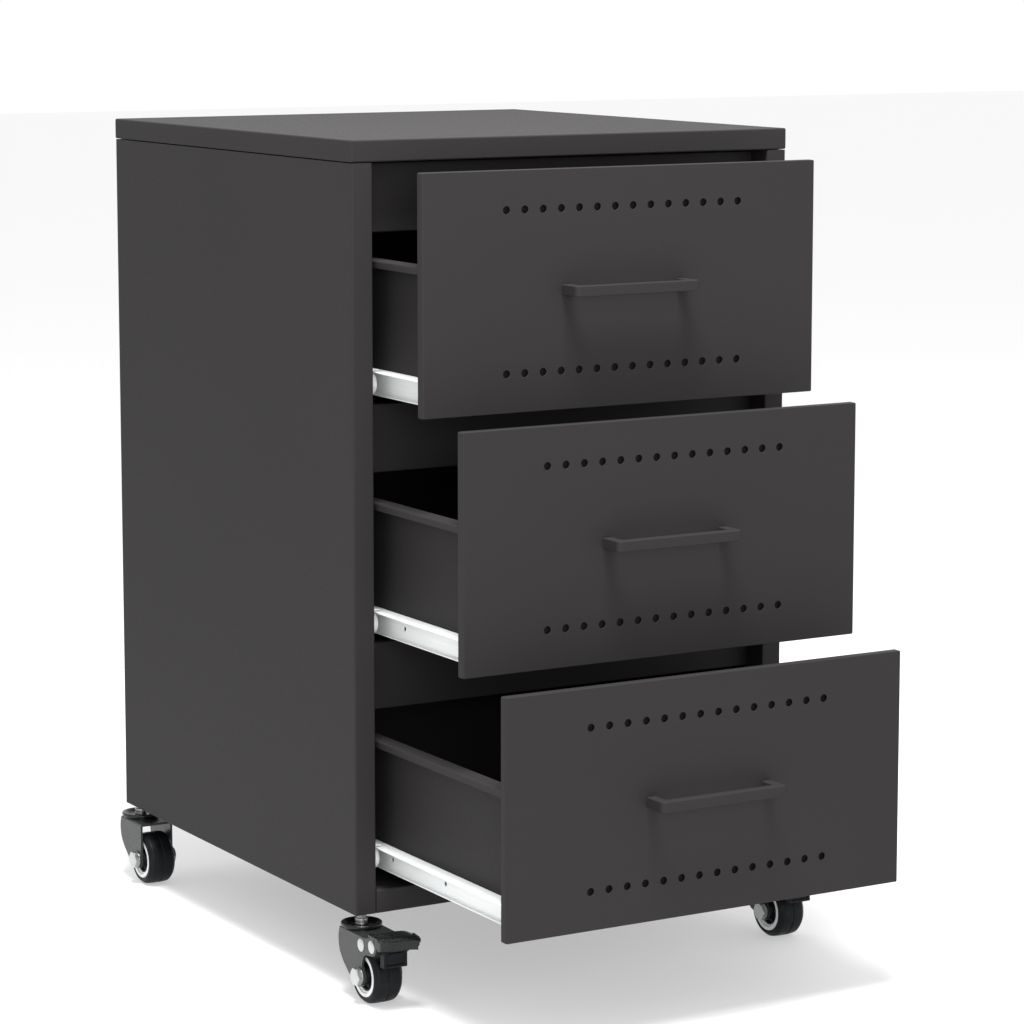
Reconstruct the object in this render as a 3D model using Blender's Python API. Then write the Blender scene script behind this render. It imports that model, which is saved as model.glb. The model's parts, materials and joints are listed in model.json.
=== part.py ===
"""Rolling pedestal cabinet of folded sheet steel.

Three drawers run on roller slides and four casters carry the body; the front two have foot brakes.
Metres, +Z up, -Y is the front. The origin is on the floor, under the centre of the whole object's box
with the drawers standing open by OPENINGS.
"""

import math

import bmesh
import bpy
from mathutils import Matrix, Vector

# ------------------------------------------------------------------ driving dimensions
FIT = 0.0003                    # clearance between pieces that touch
SHEET = 0.001                   # steel sheet of body, drawers and slides
WELD_STEP = 0.0001              # how far a welded plate stands inside the face it joins

BODY_WIDTH = 0.390
BODY_DEPTH = 0.428
BODY_HEIGHT = 0.5908            # underside of the body to the top surface
TOP_THICKNESS = 0.0166
TOP_OVERHANG = 0.0003
TOP_SEAM = 0.0006               # shadow gap under the top panel
TOP_HEM = 0.012
PILLAR_WIDTH = 0.0175           # front face of a side panel's fold
PILLAR_RETURN = 0.0225          # depth of the fold behind that face
BOTTOM_HEIGHT = 0.018           # bottom panel, also the rail under the lowest drawer
BACK_DEPTH = 0.006
RAIL_DEPTH = 0.012
RAIL_HEIGHT = 0.0524
RAIL_LIP = 0.001                # how far a rail stands above the foot of the drawer front over it

FRONT_DEPTH = 0.0081            # folded edge of a drawer front
SIDE_GAP = 0.00345              # drawer front to pillar
BOTTOM_GAP = 0.0035
TOP_GAP = 0.0041
FRONT_GAP = 0.0025              # between two drawer fronts
OPENINGS = {"lower": 0.1913, "middle": 0.1294, "upper": 0.0698}

HOLE_COUNT = 14
HOLE_PITCH = 0.0158
HOLE_RADIUS = 0.003
HOLE_ROW_INSET = 0.0295         # row to the top or bottom edge of the front
HOLE_SIDES = 10

HANDLE_LENGTH = 0.110
HANDLE_PROJECTION = 0.022
HANDLE_BAR = 0.008
HANDLE_CORNER = 0.004

TRAY_DROP = 0.0691              # top of the front down to the tray's lip
TRAY_BASE = 0.0085              # foot of the front up to the tray's floor
TRAY_LIP_DROP = 0.0057
TRAY_REAR_GAP = 0.020           # behind the closed tray, to the back panel

SLIDE_SPACE = 0.0163            # pillar to tray, the room for one slide
CABINET_SLIDE_SETBACK = 0.009   # front of the body to the front of the cabinet member
CABINET_SLIDE_REAR_GAP = 0.019
CABINET_SLIDE_BASE = 0.005      # foot of the drawer front up to the member's underside
CABINET_SLIDE_HEIGHT = 0.0245
LEDGE_GAP = 0.0057              # tray to the cabinet member's lower flange, the rear roller's runway
GUARD_GAP = 0.0073              # tray to its upper flange, which keeps the drawer from tipping
DRAWER_SLIDE_BASE = 0.0078
DRAWER_SLIDE_TOP = 0.0279
FLANGE_GAP = 0.0036             # drawer member's upper flange to the pillar
DRAWER_SLIDE_LIP = 0.0034
SCREW_HOLE_RADIUS = 0.002
SCREW_HOLE_PLACES = (0.103, 0.186, 0.330)
ROLLER_WIDTH = 0.0080
ROLLER_INSET = 0.012            # roller axis to the end of its slide
LEDGE_SETBACK = 0.014           # front of the cabinet member to the front of its lower flange
ROLLER_PIN_RADIUS = 0.002
ROLLER_PIN_HEAD_RADIUS = 0.0034
ROLLER_PIN_HEAD = 0.0007
ROLLER_SEGMENTS = 16

CASTER_INSET = 0.0095           # stem axis to the faces of the body's corner
CASTER_TRAIL = 0.0245           # stem axis to wheel axis
WHEEL_RADIUS = 0.022
WHEEL_WIDTH = 0.024
WHEEL_SHOULDER = 0.003
WHEEL_RING_RADIUS = 0.0166
WHEEL_RECESS = 0.0022
HUB_RADIUS = 0.0065
WHEEL_SEGMENTS = 24
WHEEL_SIDE_GAP = 0.001          # tyre to the inside of a leg
WHEEL_TOP_GAP = 0.0077          # tyre to the underside of the fork's plate
FORK_SHEET = 0.0018
FORK_REAR = 0.010               # rear edge of a leg, behind the stem axis
FORK_LOBE = 0.008               # rounded end of a leg about the axle
PLATE_SETBACK = 0.003           # rear edge of the fork's plate, ahead of the legs'
LEG_REAR_EDGE = (               # down a leg's rear edge, from FORK_REAR and the top of the plate
    (-0.0020, 0.0), (0.0, -0.0060), (0.0, -0.0115), (-0.0017, -0.0190), (-0.0076, -0.0258),
)
LEG_HEEL = (-0.0170, -0.0020)   # where that edge meets the lobe, from FORK_REAR and the axle
LEG_THROAT = ((0.0040, 0.0080), (0.0040, 0.0120), (0.0, 0.0185))    # up a braked leg, from lobe and axle
RACEWAY_RADIUS = 0.016
RACEWAY_HEIGHT = 0.0038
RACEWAY_NECK = 0.0008           # step of its rim and of the neck under it
RACEWAY_DISH = 0.0022
RACEWAY_SEGMENTS = 20
STEM_SEGMENTS = 12              # also bores, pins and rivets
AXLE_RADIUS = 0.003
AXLE_HEAD_RADIUS = 0.0075       # across the corners of the hexagon
AXLE_HEAD = 0.0045
STEM_RADIUS = 0.004
STEM_COLLAR_RADIUS = 0.005
STEM_REACH = 0.012              # thread inside the body
STEM_COLLAR_HEIGHT = 0.0072     # top of the raceway to the underside of the body
STEM_NECK = 0.0040              # thread seen between the collar and the body
STEM_CHAMFER = 0.0005
NUT_RADIUS = 0.0065
NUT_HEIGHT = 0.005
KING_PIN_HEAD = 0.002
KING_PIN_HEAD_RADIUS = 0.006

BRAKE_PIVOT_BACK = 0.0026       # pivot behind the front of the tyre
BRAKE_PIVOT_DROP = 0.0041       # pivot below the top of the fork's plate
BRAKE_STOP_OFFSET = (0.0171, -0.0025)    # cross rivet, from the pivot
BRAKE_RIVET_RADIUS = 0.0050
BRAKE_RIVET_HEAD = 0.0011
BRAKE_PIN_RADIUS = 0.002
BRAKE_EAR = 0.0072              # rounded ear of a leg about the pivot
PEDAL_WIDTH = 0.036
PEDAL_RISE = 0.0103             # pivot to the top of the pedal's plate
PEDAL_BACK = 0.0026             # plate behind the pivot
PEDAL_REACH = 0.0193            # pivot to the pedal's front edge
PEDAL_SHEET = 0.0018
PEDAL_NOSE_LENGTH = 0.0056      # curled front edge of the plate
PEDAL_NOSE_DROP = 0.0022
CHEEK_SETBACK = 0.0065          # side cheeks behind the front edge
CHEEK_LENGTH = 0.0085
CHEEK_DROP = 0.0127
ARM_RADIUS = 0.0045             # round end of a pedal arm about the pivot
ARM_INSET = 0.0006              # pedal arm to the inner face of a fork leg
SHOE_WIDTH = 0.020
SHOE_THICKNESS = 0.0066
SHOE_REACH = 0.0113             # pivot to the front of the shoe
SHOE_DROP = 0.0153              # pivot down to the shoe's foot
ROUND_PIN_SIDES = 12            # roller pins and the pedal's bore
BRAKE_PIN_SIDES = 8
SCREW_HOLE_SIDES = 8
NEAR = 1e-6                     # coordinates closer than this are the same

# ------------------------------------------------------------------ dependent dimensions
AXLE_HEIGHT = WHEEL_RADIUS
FORK_WIDTH = WHEEL_WIDTH + 2 * (WHEEL_SIDE_GAP + FORK_SHEET)
FORK_TOP = 2 * WHEEL_RADIUS + WHEEL_TOP_GAP + FORK_SHEET
RACEWAY_TOP = FORK_TOP + RACEWAY_HEIGHT
CASTER_HEIGHT = RACEWAY_TOP + STEM_COLLAR_HEIGHT   # floor to the underside of the body
BRAKE_PIVOT = (BRAKE_PIVOT_BACK - CASTER_TRAIL - WHEEL_RADIUS, FORK_TOP - BRAKE_PIVOT_DROP)
BRAKE_STOP = (BRAKE_PIVOT[0] + BRAKE_STOP_OFFSET[0], BRAKE_PIVOT[1] + BRAKE_STOP_OFFSET[1])
SIDE_HEIGHT = BODY_HEIGHT - TOP_THICKNESS - TOP_SEAM
SIDE_TOP = CASTER_HEIGHT + SIDE_HEIGHT
HALF_WIDTH = BODY_WIDTH / 2
HALF_BAY = HALF_WIDTH - PILLAR_WIDTH              # between the pillars
FRONT_WIDTH = 2 * (HALF_BAY - SIDE_GAP)
FRONT_BASE = CASTER_HEIGHT + BOTTOM_HEIGHT + BOTTOM_GAP
FRONT_HEIGHT = (SIDE_HEIGHT - BOTTOM_HEIGHT - BOTTOM_GAP - TOP_GAP - 2 * FRONT_GAP) / 3
DRAWER_PITCH = FRONT_HEIGHT + FRONT_GAP
DRAWER_REAR = FRONT_DEPTH + FIT                   # where tray and slides start behind the front
TRAY_TOP = FRONT_HEIGHT - TRAY_DROP
HALF_TRAY = HALF_BAY - FIT - SLIDE_SPACE - 2 * FIT
TRAY_END = BODY_DEPTH - BACK_DEPTH - TRAY_REAR_GAP
CABINET_SLIDE_LEDGE = SLIDE_SPACE - LEDGE_GAP
CABINET_SLIDE_GUARD = SLIDE_SPACE - GUARD_GAP
DRAWER_SLIDE_FLANGE = SLIDE_SPACE - FLANGE_GAP
SLIDE_WEB = HALF_TRAY + FIT + SHEET               # outer face of a drawer member's web
SLIDE_EDGE = SLIDE_WEB - SHEET + DRAWER_SLIDE_FLANGE
SLIDE_END = BODY_DEPTH - CABINET_SLIDE_REAR_GAP
CABINET_WEB = HALF_BAY - FIT                      # outer face of a cabinet member's web
FRONT_ROLLER_RADIUS = (DRAWER_SLIDE_TOP - SHEET - FIT - DRAWER_SLIDE_BASE - SHEET) / 2
FRONT_ROLLER_HEIGHT = DRAWER_SLIDE_TOP - SHEET - FIT - FRONT_ROLLER_RADIUS
FRONT_ROLLER_PLACE = CABINET_SLIDE_SETBACK + ROLLER_INSET
REAR_RUNWAY = CABINET_SLIDE_BASE + SHEET + FIT
REAR_ROLLER_RADIUS = (DRAWER_SLIDE_TOP - SHEET - 2 * FIT - REAR_RUNWAY) / 2
REAR_ROLLER_HEIGHT = REAR_RUNWAY + REAR_ROLLER_RADIUS
REAR_ROLLER_PLACE = SLIDE_END - FIT - ROLLER_INSET
REAR_ROLLER_SIDE = SLIDE_WEB - SHEET + DRAWER_SLIDE_LIP + FIT    # inner face of a rear roller
FRONT_ROLLER_SIDE = CABINET_WEB - SHEET - FIT                    # outer face of a front roller
OBJECT_FRONT = -(OPENINGS["lower"] + HANDLE_PROJECTION)
OBJECT_REAR = max(BODY_DEPTH + TOP_OVERHANG, BODY_DEPTH - CASTER_INSET + RACEWAY_RADIUS)
OBJECT_CENTRE = (OBJECT_REAR + OBJECT_FRONT) / 2

LEVELS = ("lower", "middle", "upper")
SIDES = {"left": -1, "right": 1}
CORNERS = {
    "front_left": (-1, 0), "front_right": (1, 0),
    "rear_left": (-1, 1), "rear_right": (1, 1),
}
AXES = {"X": (1, 2), "Y": (0, 2), "Z": (0, 1)}    # the two coordinates of an outline across each axis


# ------------------------------------------------------------------ scene, materials and placing
def clear_scene():
    for thing in list(bpy.data.objects):
        bpy.data.objects.remove(thing, do_unlink=True)


def make_material(name, colour, roughness, metallic=0.0):
    material = bpy.data.materials.new(name)
    material.use_nodes = True
    shader = material.node_tree.nodes["Principled BSDF"]
    shader.inputs["Base Color"].default_value = (*colour, 1.0)
    shader.inputs["Roughness"].default_value = roughness
    shader.inputs["Metallic"].default_value = metallic
    return material


def make_materials():
    return {
        "paint": make_material("anthracite_paint", (0.056, 0.053, 0.055), 0.55),
        "slide": make_material("white_slide_enamel", (0.86, 0.87, 0.86), 0.40),
        "roller": make_material("white_nylon", (0.80, 0.80, 0.78), 0.45),
        "zinc": make_material("zinc_plate", (0.55, 0.57, 0.58), 0.30, 1.0),
        "fork": make_material("black_stamped_steel", (0.030, 0.032, 0.033), 0.38),
        "wheel": make_material("black_tyre", (0.011, 0.012, 0.013), 0.50),
        "pedal": make_material("black_brake_steel", (0.020, 0.021, 0.020), 0.45),
    }


def empty(name, location, parent=None):
    thing = bpy.data.objects.new(name, None)
    thing.empty_display_size = 0.02
    thing.location = location
    thing.parent = parent
    bpy.context.collection.objects.link(thing)
    return thing


def piece(name, mesh, material, parent, location=(0, 0, 0)):
    """Link one named sub-part, placed under its parent."""
    thing = bpy.data.objects.new(name, mesh)
    thing.location = location
    thing.parent = parent
    if not mesh.materials:
        mesh.materials.append(material)
    bpy.context.collection.objects.link(thing)
    return thing


# ------------------------------------------------------------------ shapes
def surface_mesh(bm, name):
    """An open surface's mesh, with its faces turned as they were made."""
    mesh = bpy.data.meshes.new(name)
    bm.to_mesh(mesh)
    bm.free()
    return mesh


def finish_mesh(bm, name, smooth=False):
    """A closed solid's mesh, with its faces turned outwards."""
    bmesh.ops.recalc_face_normals(bm, faces=bm.faces)
    mesh = surface_mesh(bm, name)
    if smooth:
        mesh.shade_smooth()
        mesh.set_sharp_from_angle(angle=math.radians(35))
    return mesh


def in_space(axis, point, along):
    """A point of an outline drawn across an axis, at a distance along it."""
    place = [along, along, along]
    for index, value in zip(AXES[axis], point):
        place[index] = value
    return place


def prism(outline, axis, low, high):
    """An outline drawn across an axis, extruded along it from low to high."""
    bm = bmesh.new()
    face = bm.faces.new([bm.verts.new(in_space(axis, point, low)) for point in outline])
    extruded = bmesh.ops.extrude_face_region(bm, geom=[face])["geom"]
    step = Vector(in_space(axis, (0, 0), high - low))
    bmesh.ops.translate(bm, verts=[v for v in extruded if isinstance(v, bmesh.types.BMVert)], vec=step)
    return bm


def block(low, high):
    (x0, y0, z0), (x1, y1, z1) = low, high
    return prism([(x0, y0), (x1, y0), (x1, y1), (x0, y1)], "Z", z0, z1)


def folded(path, thickness):
    """Outline of a bent strip: one face as given, the other offset to its left, or right if negative."""
    points = [Vector(point) for point in path]
    steps = [(b - a).normalized() for a, b in zip(points, points[1:])]
    normals = [Vector((-step.y, step.x)) for step in steps]
    inner = []
    for index, point in enumerate(points):
        before = normals[max(index - 1, 0)]
        after = normals[min(index, len(normals) - 1)]
        middle = (before + after).normalized()
        inner.append(point + middle * (thickness / middle.dot(after)))
    return [tuple(point) for point in points + inner[::-1]]


def arc(centre, radius, start, end, steps):
    """Points along a circular arc, angles in degrees."""
    angles = [math.radians(start + (end - start) * step / steps) for step in range(steps + 1)]
    return [(centre[0] + radius * math.cos(a), centre[1] + radius * math.sin(a)) for a in angles]


def turned(outline, segments, axis="Z", closed=False):
    """A (radius, height) outline turned about an axis; a closed one leaves a bore."""
    bm = bmesh.new()
    verts = [bm.verts.new((radius, 0, height)) for radius, height in outline]
    pairs = list(zip(verts, verts[1:]))
    if closed:
        pairs.append((verts[-1], verts[0]))
    edges = [bm.edges.new(pair) for pair in pairs]
    bmesh.ops.spin(
        bm, geom=verts + edges, axis=(0, 0, 1), cent=(0, 0, 0), angle=2 * math.pi,
        steps=segments, use_merge=True,
    )
    bmesh.ops.remove_doubles(bm, verts=bm.verts, dist=NEAR)
    if axis == "X":
        bm.transform(Matrix.Rotation(math.pi / 2, 4, "Y"))
    return bm


def cylinder(radius, low, high, sides, axis="Z", centre=(0, 0)):
    """A cylinder or a regular prism along an axis, about a centre given across it."""
    return prism(arc(centre, radius, 0, 360 * (sides - 1) / sides, sides - 1), axis, low, high)


def combine(base, tools, operation="UNION"):
    """Join solids to a base, or cut them from it, and return the one resulting mesh."""
    base_object = bpy.data.objects.new("base", finish_mesh(base, "base"))
    bpy.context.collection.objects.link(base_object)
    tool_objects = []
    for tool in tools:
        tool_object = bpy.data.objects.new("tool", finish_mesh(tool, "tool"))
        bpy.context.collection.objects.link(tool_object)
        tool_objects.append(tool_object)
        modifier = base_object.modifiers.new("shape", "BOOLEAN")
        modifier.operation = operation
        modifier.solver = "EXACT"
        modifier.object = tool_object
    evaluated = base_object.evaluated_get(bpy.context.evaluated_depsgraph_get())
    bm = bmesh.new()
    bm.from_mesh(evaluated.to_mesh())
    evaluated.to_mesh_clear()
    for thing in [base_object] + tool_objects:
        bpy.data.objects.remove(thing, do_unlink=True)
    return bm


def pan(low, high, open_axis, open_high, hem=0.0):
    """Surface of a box without one side, with an optional hem turned inwards round that side."""
    bm = block(low, high)
    axis = "XYZ".index(open_axis)
    level = (high if open_high else low)[axis]
    lids = [face for face in bm.faces if all(abs(v.co[axis] - level) < NEAR for v in face.verts)]
    bmesh.ops.delete(bm, geom=lids, context="FACES")
    if hem:
        rim = [edge for edge in bm.edges if edge.is_boundary]
        extruded = bmesh.ops.extrude_edge_only(bm, edges=rim)["geom"]
        for vert in [v for v in extruded if isinstance(v, bmesh.types.BMVert)]:
            for index in AXES[open_axis]:
                vert.co[index] += hem if abs(vert.co[index] - low[index]) < NEAR else -hem
    return bm


def sheet_mesh(bm, name):
    """Give a surface the sheet's thickness on its inner side, and return the solid."""
    shell = bpy.data.objects.new("shell", surface_mesh(bm, name))
    bpy.context.collection.objects.link(shell)
    modifier = shell.modifiers.new("sheet", "SOLIDIFY")
    modifier.thickness = SHEET
    modifier.offset = -1.0
    modifier.use_even_offset = True
    evaluated = shell.evaluated_get(bpy.context.evaluated_depsgraph_get())
    solid = bmesh.new()
    solid.from_mesh(evaluated.to_mesh())
    evaluated.to_mesh_clear()
    bpy.data.objects.remove(shell, do_unlink=True)
    return solid


# ------------------------------------------------------------------ body
def side_panel_mesh(side):
    """Folded side: web, front and rear folds with returns, top flange, and bottom flange with stem holes."""
    web, bay = side * HALF_WIDTH, side * HALF_BAY
    path = [
        (bay, BODY_DEPTH - PILLAR_RETURN), (bay, BODY_DEPTH), (web, BODY_DEPTH),
        (web, 0), (bay, 0), (bay, PILLAR_RETURN),
    ]
    section = prism(folded(path, -side * SHEET), "Z", CASTER_HEIGHT, SIDE_TOP)
    outer, inner = sorted((web - side * SHEET / 2, bay + side * SHEET / 2))
    flanges = [
        block((outer, SHEET / 2, foot), (inner, BODY_DEPTH - SHEET / 2, foot + SHEET))
        for foot in (CASTER_HEIGHT + WELD_STEP, SIDE_TOP - WELD_STEP - SHEET)
    ]
    joined = combine(section, flanges)
    holes = []
    for place in (CASTER_INSET, BODY_DEPTH - CASTER_INSET):
        centre = (web - side * CASTER_INSET, place)
        holes.append(cylinder(
            STEM_RADIUS + FIT, CASTER_HEIGHT - SHEET, CASTER_HEIGHT + 2 * SHEET, STEM_SEGMENTS,
            centre=centre))
    return finish_mesh(combine(joined, holes, "DIFFERENCE"), "side_panel")


def build_panels(materials, cabinet):
    paint = materials["paint"]
    for name, side in SIDES.items():
        piece(name + "_side_panel", side_panel_mesh(side), paint, cabinet)
    top = pan(
        (-HALF_WIDTH - TOP_OVERHANG, -TOP_OVERHANG, SIDE_TOP + TOP_SEAM),
        (HALF_WIDTH + TOP_OVERHANG, BODY_DEPTH + TOP_OVERHANG, SIDE_TOP + TOP_SEAM + TOP_THICKNESS),
        "Z", False, TOP_HEM,
    )
    inside = HALF_BAY - FIT
    bottom = pan(
        (-inside, 0, CASTER_HEIGHT),
        (inside, BODY_DEPTH - FIT, CASTER_HEIGHT + BOTTOM_HEIGHT), "Z", False,
    )
    back = pan(
        (-inside, BODY_DEPTH - FIT - BACK_DEPTH, CASTER_HEIGHT + BOTTOM_HEIGHT + FIT),
        (inside, BODY_DEPTH - FIT, SIDE_TOP - FIT), "Y", False,
    )
    for name, surface in (("top_panel", top), ("bottom_panel", bottom), ("back_panel", back)):
        piece(name, finish_mesh(sheet_mesh(surface, name), name), paint, cabinet)


def build_rails(materials, cabinet):
    """Cross rails behind the joints between the drawer fronts, and one under the top."""
    front = PILLAR_RETURN + FIT
    half = HALF_WIDTH - SHEET - FIT
    tops = {
        "front_rail_lower": FRONT_BASE + DRAWER_PITCH + RAIL_LIP,
        "front_rail_upper": FRONT_BASE + 2 * DRAWER_PITCH + RAIL_LIP,
        "front_rail_top": SIDE_TOP - SHEET - FIT,
    }
    for name, top in tops.items():
        foot = top - RAIL_HEIGHT
        path = [(front + RAIL_DEPTH, top), (front, top), (front, foot), (front + RAIL_DEPTH, foot)]
        mesh = finish_mesh(prism(folded(path, SHEET), "X", -half, half), name)
        piece(name, mesh, materials["paint"], cabinet)


# ------------------------------------------------------------------ slides
def roller_pin(root, tip, place, height):
    """Headed pin along X that carries a roller; its root is inside the slide's web."""
    outward = math.copysign(1, tip - root)
    shaft = cylinder(ROLLER_PIN_RADIUS, *sorted((root, tip)), ROUND_PIN_SIDES, "X", (place, height))
    head_span = sorted((tip - outward * WELD_STEP, tip + outward * ROLLER_PIN_HEAD))
    return [shaft, cylinder(ROLLER_PIN_HEAD_RADIUS, *head_span, ROUND_PIN_SIDES, "X", (place, height))]


def cabinet_slide_mesh(side):
    """C section on the cabinet, its lower flange cut back in front, with the front roller's pin."""
    web = side * CABINET_WEB
    foot, top = CABINET_SLIDE_BASE, CABINET_SLIDE_BASE + CABINET_SLIDE_HEIGHT
    path = [
        (web - side * CABINET_SLIDE_GUARD, top), (web, top), (web, foot),
        (web - side * CABINET_SLIDE_LEDGE, foot),
    ]
    section = prism(folded(path, -side * SHEET), "Y", CABINET_SLIDE_SETBACK, SLIDE_END)
    pin = roller_pin(
        web - side * SHEET / 2, side * (FRONT_ROLLER_SIDE - ROLLER_WIDTH - FIT),
        FRONT_ROLLER_PLACE, FRONT_ROLLER_HEIGHT)
    inner = web - side * SHEET
    notch_span = sorted((inner, inner - side * SLIDE_SPACE))
    notch_end = CABINET_SLIDE_SETBACK + LEDGE_SETBACK
    notch = block((notch_span[0], 0, foot - SHEET), (notch_span[1], notch_end, foot + SHEET + FIT))
    return finish_mesh(combine(combine(section, pin), [notch], "DIFFERENCE"), "cabinet_slide")


def drawer_slide_mesh(side):
    """Drawer member: web on the tray, flange over the front roller, small lower lip, rear roller's pin."""
    inner = side * (SLIDE_WEB - SHEET)
    path = [
        (side * SLIDE_EDGE, DRAWER_SLIDE_TOP), (inner, DRAWER_SLIDE_TOP), (inner, DRAWER_SLIDE_BASE),
        (inner + side * DRAWER_SLIDE_LIP, DRAWER_SLIDE_BASE),
    ]
    section = prism(folded(path, side * SHEET), "Y", DRAWER_REAR, SLIDE_END - FIT)
    pin = roller_pin(
        side * (SLIDE_WEB - SHEET / 2), side * (REAR_ROLLER_SIDE + ROLLER_WIDTH + FIT),
        REAR_ROLLER_PLACE, REAR_ROLLER_HEIGHT)
    joined = combine(section, pin)
    middle = (DRAWER_SLIDE_BASE + DRAWER_SLIDE_TOP) / 2
    span = sorted((inner - side * SHEET, inner + side * 2 * SHEET))
    holes = [
        cylinder(SCREW_HOLE_RADIUS, *span, SCREW_HOLE_SIDES, "X", (DRAWER_REAR + place, middle))
        for place in SCREW_HOLE_PLACES
    ]
    return finish_mesh(combine(joined, holes, "DIFFERENCE"), "drawer_slide")


def roller_mesh(radius):
    """Nylon roller about the X axis, with a bore for its pin."""
    half = ROLLER_WIDTH / 2
    bore = ROLLER_PIN_RADIUS + FIT
    outline = [(bore, -half), (radius, -half), (radius, half), (bore, half)]
    return finish_mesh(turned(outline, ROLLER_SEGMENTS, "X", closed=True), "roller", smooth=True)


def build_cabinet_slides(materials, cabinet):
    meshes = {side: cabinet_slide_mesh(side) for side in SIDES.values()}
    roller = roller_mesh(FRONT_ROLLER_RADIUS)
    middle = FRONT_ROLLER_SIDE - ROLLER_WIDTH / 2
    for index, level in enumerate(LEVELS):
        foot = FRONT_BASE + index * DRAWER_PITCH
        for name, side in SIDES.items():
            label = level + "_" + name
            piece(label + "_cabinet_slide", meshes[side], materials["slide"], cabinet, (0, 0, foot))
            place = (side * middle, FRONT_ROLLER_PLACE, foot + FRONT_ROLLER_HEIGHT)
            piece(label + "_front_roller", roller, materials["roller"], cabinet, place)


# ------------------------------------------------------------------ drawers
def drawer_front_mesh():
    """Double-skinned front with two rows of round holes in its outer sheet."""
    half = FRONT_WIDTH / 2
    shell = sheet_mesh(block((-half, 0, 0), (half, FRONT_DEPTH, FRONT_HEIGHT)), "drawer_front")
    cutter = bmesh.new()
    for height in (HOLE_ROW_INSET, FRONT_HEIGHT - HOLE_ROW_INSET):
        for index in range(HOLE_COUNT):
            place = (index - (HOLE_COUNT - 1) / 2) * HOLE_PITCH
            hole = cylinder(HOLE_RADIUS, -SHEET, 2 * SHEET, HOLE_SIDES, "Y", (place, height))
            mesh = finish_mesh(hole, "hole")
            cutter.from_mesh(mesh)
            bpy.data.meshes.remove(mesh)
    return finish_mesh(combine(shell, [cutter], "DIFFERENCE"), "drawer_front")


def handle_mesh():
    """Bow of square bar, drawn in plan and as high as the bar."""
    half = HANDLE_LENGTH / 2
    path = [(-half, -FIT), (-half, -HANDLE_PROJECTION), (half, -HANDLE_PROJECTION), (half, -FIT)]
    middle = FRONT_HEIGHT / 2
    bm = prism(folded(path, HANDLE_BAR), "Z", middle - HANDLE_BAR / 2, middle + HANDLE_BAR / 2)
    corners = [
        edge for edge in bm.edges
        if all(abs(abs(v.co.x) - half) < NEAR and abs(v.co.y + HANDLE_PROJECTION) < NEAR for v in edge.verts)
    ]
    bmesh.ops.bevel(
        bm, geom=corners, offset=HANDLE_CORNER, segments=4, profile=0.5, affect="EDGES", clamp_overlap=True)
    return finish_mesh(bm, "drawer_handle")


def runs_along_y(edge):
    start, end = (vert.co for vert in edge.verts)
    return abs(start.x - end.x) < NEAR and abs(start.z - end.z) < NEAR


def tray_mesh():
    """Open box of one sheet whose side walls fold outwards over the slides and end in a short drop."""
    low = (-HALF_TRAY, DRAWER_REAR, TRAY_BASE)
    high = (HALF_TRAY, TRAY_END, TRAY_TOP - SHEET)
    bm = pan(low, high, "Z", True)
    lips = [edge for edge in bm.edges if edge.is_boundary and runs_along_y(edge)]
    folds = ((SLIDE_EDGE - SHEET - HALF_TRAY, 0), (0, SHEET - TRAY_LIP_DROP))
    for outward, rise in folds:
        extruded = bmesh.ops.extrude_edge_only(bm, edges=lips)["geom"]
        for vert in [v for v in extruded if isinstance(v, bmesh.types.BMVert)]:
            vert.co.x += math.copysign(outward, vert.co.x)
            vert.co.z += rise
        lips = [
            edge for edge in extruded
            if isinstance(edge, bmesh.types.BMEdge) and edge.is_boundary and runs_along_y(edge)
        ]
    return finish_mesh(sheet_mesh(bm, "drawer_tray"), "drawer_tray")


def build_drawers(materials, cabinet):
    front, handle, tray = drawer_front_mesh(), handle_mesh(), tray_mesh()
    slides = {side: drawer_slide_mesh(side) for side in SIDES.values()}
    roller = roller_mesh(REAR_ROLLER_RADIUS)
    middle = REAR_ROLLER_SIDE + ROLLER_WIDTH / 2
    for index, level in enumerate(LEVELS):
        place = (0, -OPENINGS[level], FRONT_BASE + index * DRAWER_PITCH)
        drawer = empty(level + "_drawer", place, cabinet)
        piece(level + "_drawer_front", front, materials["paint"], drawer)
        piece(level + "_drawer_handle", handle, materials["paint"], drawer)
        piece(level + "_drawer_tray", tray, materials["paint"], drawer)
        for name, side in SIDES.items():
            label = level + "_" + name
            piece(label + "_drawer_slide", slides[side], materials["slide"], drawer)
            spot = (side * middle, REAR_ROLLER_PLACE, REAR_ROLLER_HEIGHT)
            piece(label + "_rear_roller", roller, materials["roller"], drawer, spot)


# ------------------------------------------------------------------ casters
def leg_outline(braked):
    """Side view of a fork leg: crown edge, swept rear edge, lobe about the axle, front edge."""
    axle = (-CASTER_TRAIL, AXLE_HEIGHT)
    rear = [(FORK_REAR + along, FORK_TOP + rise) for along, rise in LEG_REAR_EDGE]
    rear.append((FORK_REAR + LEG_HEEL[0], AXLE_HEIGHT + LEG_HEEL[1]))
    lobe = arc(axle, FORK_LOBE, -40, -180, 7)
    front_edge = axle[0] - FORK_LOBE
    if not braked:
        return rear + lobe + [(front_edge, FORK_TOP)]
    throat = [(front_edge + along, AXLE_HEIGHT + rise) for along, rise in LEG_THROAT]
    return rear + lobe + throat + arc(BRAKE_PIVOT, BRAKE_EAR, -90, -270, 8) + [(front_edge, FORK_TOP)]


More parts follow.
